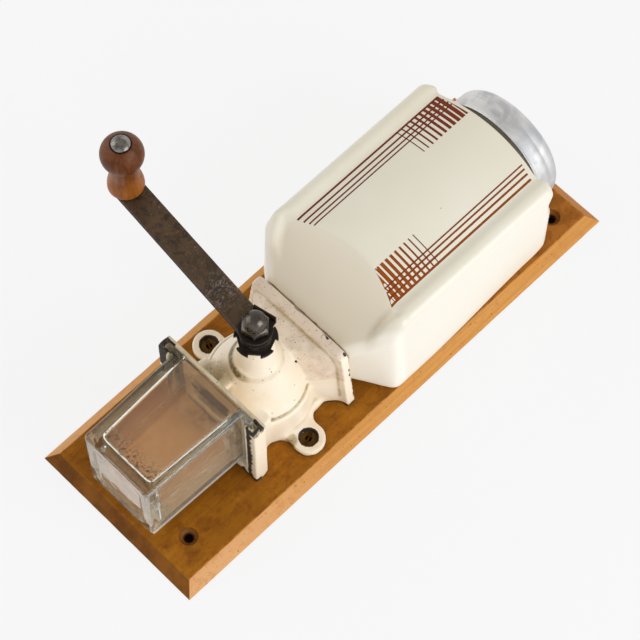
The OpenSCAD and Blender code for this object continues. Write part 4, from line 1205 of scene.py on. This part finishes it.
def coffeeFilm():
    material, tone = startMaterial("coffeeFilm"), cupTones
    film = cloud(30.0, 5.0, rough=0.6)
    grounds = cloud(420.0, 4.0, rough=0.75)
    x, z = whereIs()[::2]
    back, lower, mouth = fall(z, 26.5, 34.0), fall(z, 30, 80), rise(x, -122, -108)
    end = fall(x, -179.5, -164.0)
    cling = rise(z, 84.2, 85.2) * fall(x, -178.0, -164.0)  # stuck under the front's end
    crumbs = rise(grounds, 0.70, 0.76) + end * rise(grounds, 0.54, 0.64) + cling * rise(grounds, 0.50, 0.58)
    cover = (back * 0.45 + lower * 0.5 + 0.02) * between(film, 0.75, 1.25)  # thickest on the back wall
    cover = higher(cover, crumbs * 0.85)
    colour = washed(
        blend(rise(film, 0.35, 0.65), *tone["film"]), tone,
        # stale coffee near the mouth, partly painted shade next to the plate
        stale=mouth * rise(film, 0.40, 0.56) * 0.5,
        crumbs=crumbs)
    return dress(material, {
        "Base Color": colour, "Transmission Weight": put("ShaderNodeClamp", {0: 1.0 - cover}),
        "Roughness": between(cover, 0.03, 0.6), "IOR": cup["ior"]})


def makeCup():
    x0, x1, low, high, e, r = (cup[k] for k in ("rimX", "endX", "low", "high", "edge", "innerEdge"))
    mid, floor, neckX, small = (low + high) / 2, x1 + cup["wallEnd"], x0 - cup["rim"], cup["rimEdge"]

    def halfAt(x):
        return cup["endHalf"] + (cup["mouthHalf"] - cup["endHalf"]) * (x - x1) / (x0 - x1)

    def inner(x, drop=0.0):
        t = (x - floor) / (x0 - floor)
        half = cup["endHalf"] * (1 - t) + (cup["mouthHalf"] + 1.5) * t - cup["wallSide"]
        return squareRing(x, half - drop, low + cup["wallFace"] + drop, high - cup["wallFace"] - drop, r)

    def outer(x, drop=0.0):
        return squareRing(x, halfAt(x) - drop, low + drop, high - drop, e)

    def rim(x, drop, radius):
        return squareRing(x, cup["rimHalf"] - drop, low + drop, high - drop, radius)

    def shrunk(ring, t):
        return ring.mean(0) + (ring - ring.mean(0)) * t

    turn = np.radians(np.linspace(90, 0, 9))
    rings = [shrunk(inner(floor, r), t) for t in (0.02, 0.25, 0.5, 0.75)]
    rings += [inner(floor + r * (1 - math.sin(a)), r * (1 - math.cos(a))) for a in turn]
    rings += [inner(x) for x in np.linspace(floor + r, x0 - 0.8, 24)[1:]] + [inner(x0, -0.8)]
    rings += [rim(x0, small, 1.5), rim(x0 - small, 0, 2.0)]
    rings += [rim(neckX + small, 0, 2.0), rim(neckX, small, 1.5)]
    firstOuter = len(rings)
    rings += [outer(neckX - 0.1)] + [outer(x) for x in np.linspace(neckX - 1.2, x1 + e, 60)]
    rings += [outer(x1 + e * (1 - math.sin(a)), e * (1 - math.cos(a))) for a in turn[::-1][1:]]
    rings += [shrunk(rings[-1], t) for t in np.linspace(1, 0.02, 26)[1:]]
    rings = np.array(rings)

    points = rings.reshape(-1, 3)
    isOuter = np.repeat(np.arange(len(rings)) >= firstOuter, rings.shape[1])
    x, y, z = points.T
    y = y - cup["shift"]
    longHalf, longMid, faceHalf = (neckX - x1) / 2, (neckX + x1) / 2, (high - low) / 2
    side = isOuter & (np.abs(y) > halfAt(x) - 1.0)
    points[:, 1] -= np.where(side, np.sign(y) * panelDepth(x - longMid, z - mid, longHalf, faceHalf), 0)
    end = isOuter & (x < x1 + 0.6)
    points[:, 0] += np.where(end, panelDepth(y, z - mid, cup["endHalf"], faceHalf), 0)
    sway = cup["wobble"] * noiseAt(points, 0.055, 4.0)
    fromMiddle = points - (longMid, cup["shift"], mid)
    fromMiddle = fromMiddle / np.linalg.norm(fromMiddle, axis=1)[:, None]
    points -= fromMiddle * (np.abs(sway) * isOuter)[:, None]
    mesh = lofted("glassCup", points.reshape(rings.shape))
    piece = pieceFrom(mesh, cupGlass(), "cup", "cup_glass", "glass_cup", sharp=60)
    mesh.materials.append(coffeeFilm())
    for face in mesh.polygons:
        cx, cy, cz = face.center / mm
        within = (floor - 0.2 < cx < x0 - 0.3
                  and abs(cy - cup["shift"]) < halfAt(cx) - cup["wallSide"] + 3.2
                  and low + cup["wallFace"] - 0.2 < cz < high - cup["wallFace"] + 0.2)
        face.material_index = 1 if within else 0
    return piece


makeCup()
print("cup made")


# Crank, nuts and washers

crank = dict(
    shaftX=-66.0, armZ=108.1, armThick=4.0, armWidth=19.6, armLength=134.2, armAngle=84.6, hubExtra=0.5,
    edge=0.55, wobble=0.22, step=3.0, scuffY=36.0, tabAngle=12.0, nutZ=113.6, nutFlats=17.0, nutHex=7.8,
    nutCollar=1.8, nutDome=7.7, washerEdge=0.4)
armTones = dict(
    brown=((66, 50, 34), (96, 74, 52)), dark=(44, 33, 23), rust=(122, 82, 42), glint=(150, 134, 112),
    scuff=(146, 132, 122), drawn=(120, 104, 88), side=(24, 18, 12))


def armSteel():
    material, tone = startMaterial("brownArm"), armTones
    y, z = whereIs()[1:]
    along = (0, 0, -math.radians(crank["armAngle"]))
    mottle = cloud(170.0, 6.0, shift=(1, 4, 0), rough=0.7)
    drawn = cloud(1.0, 4.0, stretch=(40, 900, 300), turn=along, rough=0.65)
    scuff = cloud(1.0, 5.0, stretch=(260, 520, 300), turn=(0, 0, -0.6), rough=0.75, distort=1.0)
    rusty = cloud(150.0, 6.0, shift=(8, 0, 3), rough=0.7)
    top = crank["armZ"] + crank["armThick"]
    side = fall(z, top - 0.7, top - 0.2)  # its edges are black
    colour = washed(
        blend(rise(cloud(45.0, 5.0, rough=0.65), 0.3, 0.7), *tone["brown"]), tone,
        dark=rise(mottle, 0.48, 0.64) * 0.7,
        rust=rise(rusty, 0.56, 0.68) * 0.6,
        glint=rise(cloud(800.0, 3.0), 0.64, 0.72) * 0.6,
        scuff=fall(abs(y - crank["scuffY"]), 4, 18) * rise(scuff, 0.50, 0.62) * 0.75,
        drawn=rise(drawn, 0.62, 0.74) * 0.35,
        side=side * 0.85)
    return dress(material, {
        "Base Color": colour, "Metallic": between(side, 0.45, 0.0),
        "Roughness": between(side, between(mottle, 0.42, 0.66), 0.9),
        "Normal": bumped(mottle * 0.6 + drawn * 0.4, 0.0003, 0.5)})


def makeArm():
    long, half, step = crank["armLength"], crank["armWidth"] / 2, crank["step"]
    outline = arc(long, 0, half, -90, 90, 28)
    outline += [(x, half) for x in np.arange(long - step, 2 * step, -step)]
    outline += arc(0, 0, half + crank["hubExtra"], 72, 288, 36)
    outline += [(x, -half) for x in np.arange(2 * step, long, step)]
    outline = np.array(outline)
    ahead = np.roll(outline, -1, 0) - np.roll(outline, 1, 0)
    normal = np.column_stack([ahead[:, 1], -ahead[:, 0]]) / np.linalg.norm(ahead, axis=1)[:, None]
    e, thick = crank["edge"], crank["armThick"]
    lower = [(e * (1 - math.sin(a)), e * (1 - math.cos(a))) for a in np.radians(np.linspace(0, 90, 5))]
    rings = []
    for inset, z in lower + [(inset, thick - z) for inset, z in lower[::-1]]:
        sway = np.array([max(0.0, noise.noise(Vector((px, py, z * 0.5)) * 0.11)) for px, py in outline])
        flat = outline - normal * (inset + crank["wobble"] * sway)[:, None]
        rings.append(np.column_stack([flat, np.full(len(flat), z)]))
    mesh = lofted("crankBar", rings)
    turn = Matrix.Rotation(math.radians(crank["armAngle"]), 4, "Z")
    mesh.transform(Matrix.Translation(Vector((crank["shaftX"], 0, crank["armZ"])) * mm) @ turn)
    return pieceFrom(mesh, armSteel(), "crank", "brown_steel", "crank_arm", sharp=30)


def makeDomeNut():
    flats, hexH, collar, dome = crank["nutFlats"] / 2, crank["nutHex"], crank["nutCollar"], crank["nutDome"]
    across = flats / math.cos(math.radians(30))

    def hexWave(angles, height):  # how far the outline reaches in each direction, as a share of the profile
        if height > hexH:
            return np.ones(len(angles))
        off = (np.degrees(angles) - crank["tabAngle"] + 30) % 60 - 30
        reach = flats / np.cos(np.radians(off))
        cone = flats * 0.955 + 1.55 * min(height + 0.12, hexH + 0.05 - height)
        return np.minimum(reach, cone) / across

    heights = [0, 0.12, 0.3, 0.6, 0.95, 1.4, 3.0]
    heights += [hexH - down for down in (1.4, 0.95, 0.6, 0.3, 0.1, 0)]
    profile = [(0, 0)] + [(across, h) for h in heights]
    profile += [(dome + 0.5, hexH + 0.01), (dome + 0.12, hexH + 0.3), (dome, hexH + 0.8)]
    profile += arc(0, hexH + collar, dome, 0, 90, 16)
    mesh = turned("domeNut", profile, (crank["shaftX"], 0, crank["nutZ"]), steps=180, wave=hexWave)
    return pieceFrom(mesh, metal["darkSteel"], "crank", "dark_steel", "dome_nut", sharp=28)


makeArm()
makeDomeNut()
washer = softened("tab_washer", "lockWasher", crank["washerEdge"])
pieceFrom(washer, metal["blackSteel"], "crank", "dark_steel", "tab_washer")
wheel = softened("adjusting_nut", "notchedWheel", crank["washerEdge"])
pieceFrom(wheel, metal["blackSteel"], "adjuster", "dark_steel", "adjusting_nut")
print("crank made")


# Turned knob and its pin

knob = dict(
    axis=(-53.371, 133.604), z=113.3, ball=29.16, ballZ=40.5, foot=12.4, waist=9.8, waistZ=17.0,
    bore=3.55, headRadius=6.4, pinEdge=0.3)
knobTones = dict(
    ball=((82, 40, 10), (114, 62, 24)), foot=((136, 78, 22), (168, 100, 40)), patch=(92, 48, 20),
    pores=(62, 30, 12), pinRim=(26, 17, 10))


def knobWood():
    material, tone = startMaterial("varnishedKnob"), knobTones
    x, y, z = whereIs()
    grain = rise(cloud(1.0, 5.0, stretch=(260, 260, 22), distort=0.8), 0.3, 0.7)
    pores = cloud(1.0, 4.0, stretch=(1300, 1300, 90), rough=0.7)
    patch = cloud(60.0, 4.0)
    away = distance(x - knob["axis"][0], y - knob["axis"][1])
    head = knob["headRadius"]
    colour = washed(
        blend(fall(z, 119, 148) * 0.9, blend(grain, *tone["ball"]), blend(grain, *tone["foot"])), tone,
        patch=rise(patch, 0.5, 0.72) * 0.45,
        pores=rise(pores, 0.6, 0.76) * 0.5,
        # painted shade: a near-black ring in the seat groove round the pin's head
        pinRim=fall(away, head + 0.6, head + 1.5) * rise(z, 158, 160))
    return dress(material, {
        "Base Color": colour, "Roughness": between(patch, 0.34, 0.5), "Specular IOR Level": 0.22,
        "Normal": bumped(pores, 0.00025, 0.4)})


def makeKnob():
    up, foot, waist, high, bore = (knob[k] for k in ("ballZ", "foot", "waist", "waistZ", "bore"))
    ball, seat = knob["ball"] / 2, knob["headRadius"] + 0.8
    low = math.degrees(math.asin((waist + 0.3) / ball)) - 90
    top = math.degrees(math.acos(seat / ball))
    profile = [(bore, 0.0), (foot - 1.0, 0.0), (foot - 0.3, 0.3), (foot, 1.0)]
    profile += [(waist + (foot - waist) * math.cos(math.pi / 2 * t) ** 1.5, 2 + (high - 2) * t)
                for t in np.linspace(0, 1, 18)]
    sphere = arc(0, up, ball, low, top, 40)
    (startR, startZ), endZ = sphere[0], sphere[-1][1] - 0.12
    profile += [(waist + (startR - waist) * t * t, high + (startZ - high) * t) for t in (0.3, 0.6, 0.85)]
    profile += sphere + [(seat - 0.5, endZ), (bore, endZ)]
    mesh = turned("turnedKnob", profile, (*knob["axis"], knob["z"]), steps=128, wrap=True)
    return pieceFrom(mesh, knobWood(), "knob", "knob_wood", "knob", sharp=40)


makeKnob()
pin = softened("knob_pin", "knobPin", knob["pinEdge"])
pieceFrom(pin, metal["rivetSteel"], "crank", "plain_steel", "knob_pin")
print("knob made")


# Hidden and small pieces keep their own shape and get a finish

rubberTones = ((40, 38, 26), (84, 76, 52))


def gasketRubber():
    material = startMaterial("oldRubber")
    crumbs = cloud(300.0, 5.0, rough=0.7)
    return dress(material, {
        "Base Color": blend(rise(crumbs, 0.35, 0.7), *rubberTones),
        "Roughness": between(crumbs, 0.6, 0.85), "Normal": bumped(crumbs, 0.0004, 0.5)})


finishes = {"outer_burr": "burrIron", "inner_burr": "burrIron", "rear_bearing": "burrIron",
            "shaft_bush": "wornBrass", "rear_bearing_screws": "plainSteel", "jar_clamp": "plainSteel",
            "jar_screws": "plainSteel", "shaft": "plainSteel", "burr_pin": "plainSteel",
            "thrust_washer": "blackSteel", "knob_washer": "blackSteel", "jar_gasket": "oldRubber"}
metal["oldRubber"] = gasketRubber()
for node, finish in finishes.items():
    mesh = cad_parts[node].data
    mesh.materials.clear()
    mesh.materials.append(metal[finish])
print("finishes set on", len(finishes), "nodes")


# Burr spring, between the bush and the burr

coil = mergedCopy("burr_spring", "coilSpring")
spring = pieceFrom(coil, metal["plainSteel"], None, "plain_steel", "burr_spring")
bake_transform(spring)
print("spring made")

bpy.context.view_layer.update()
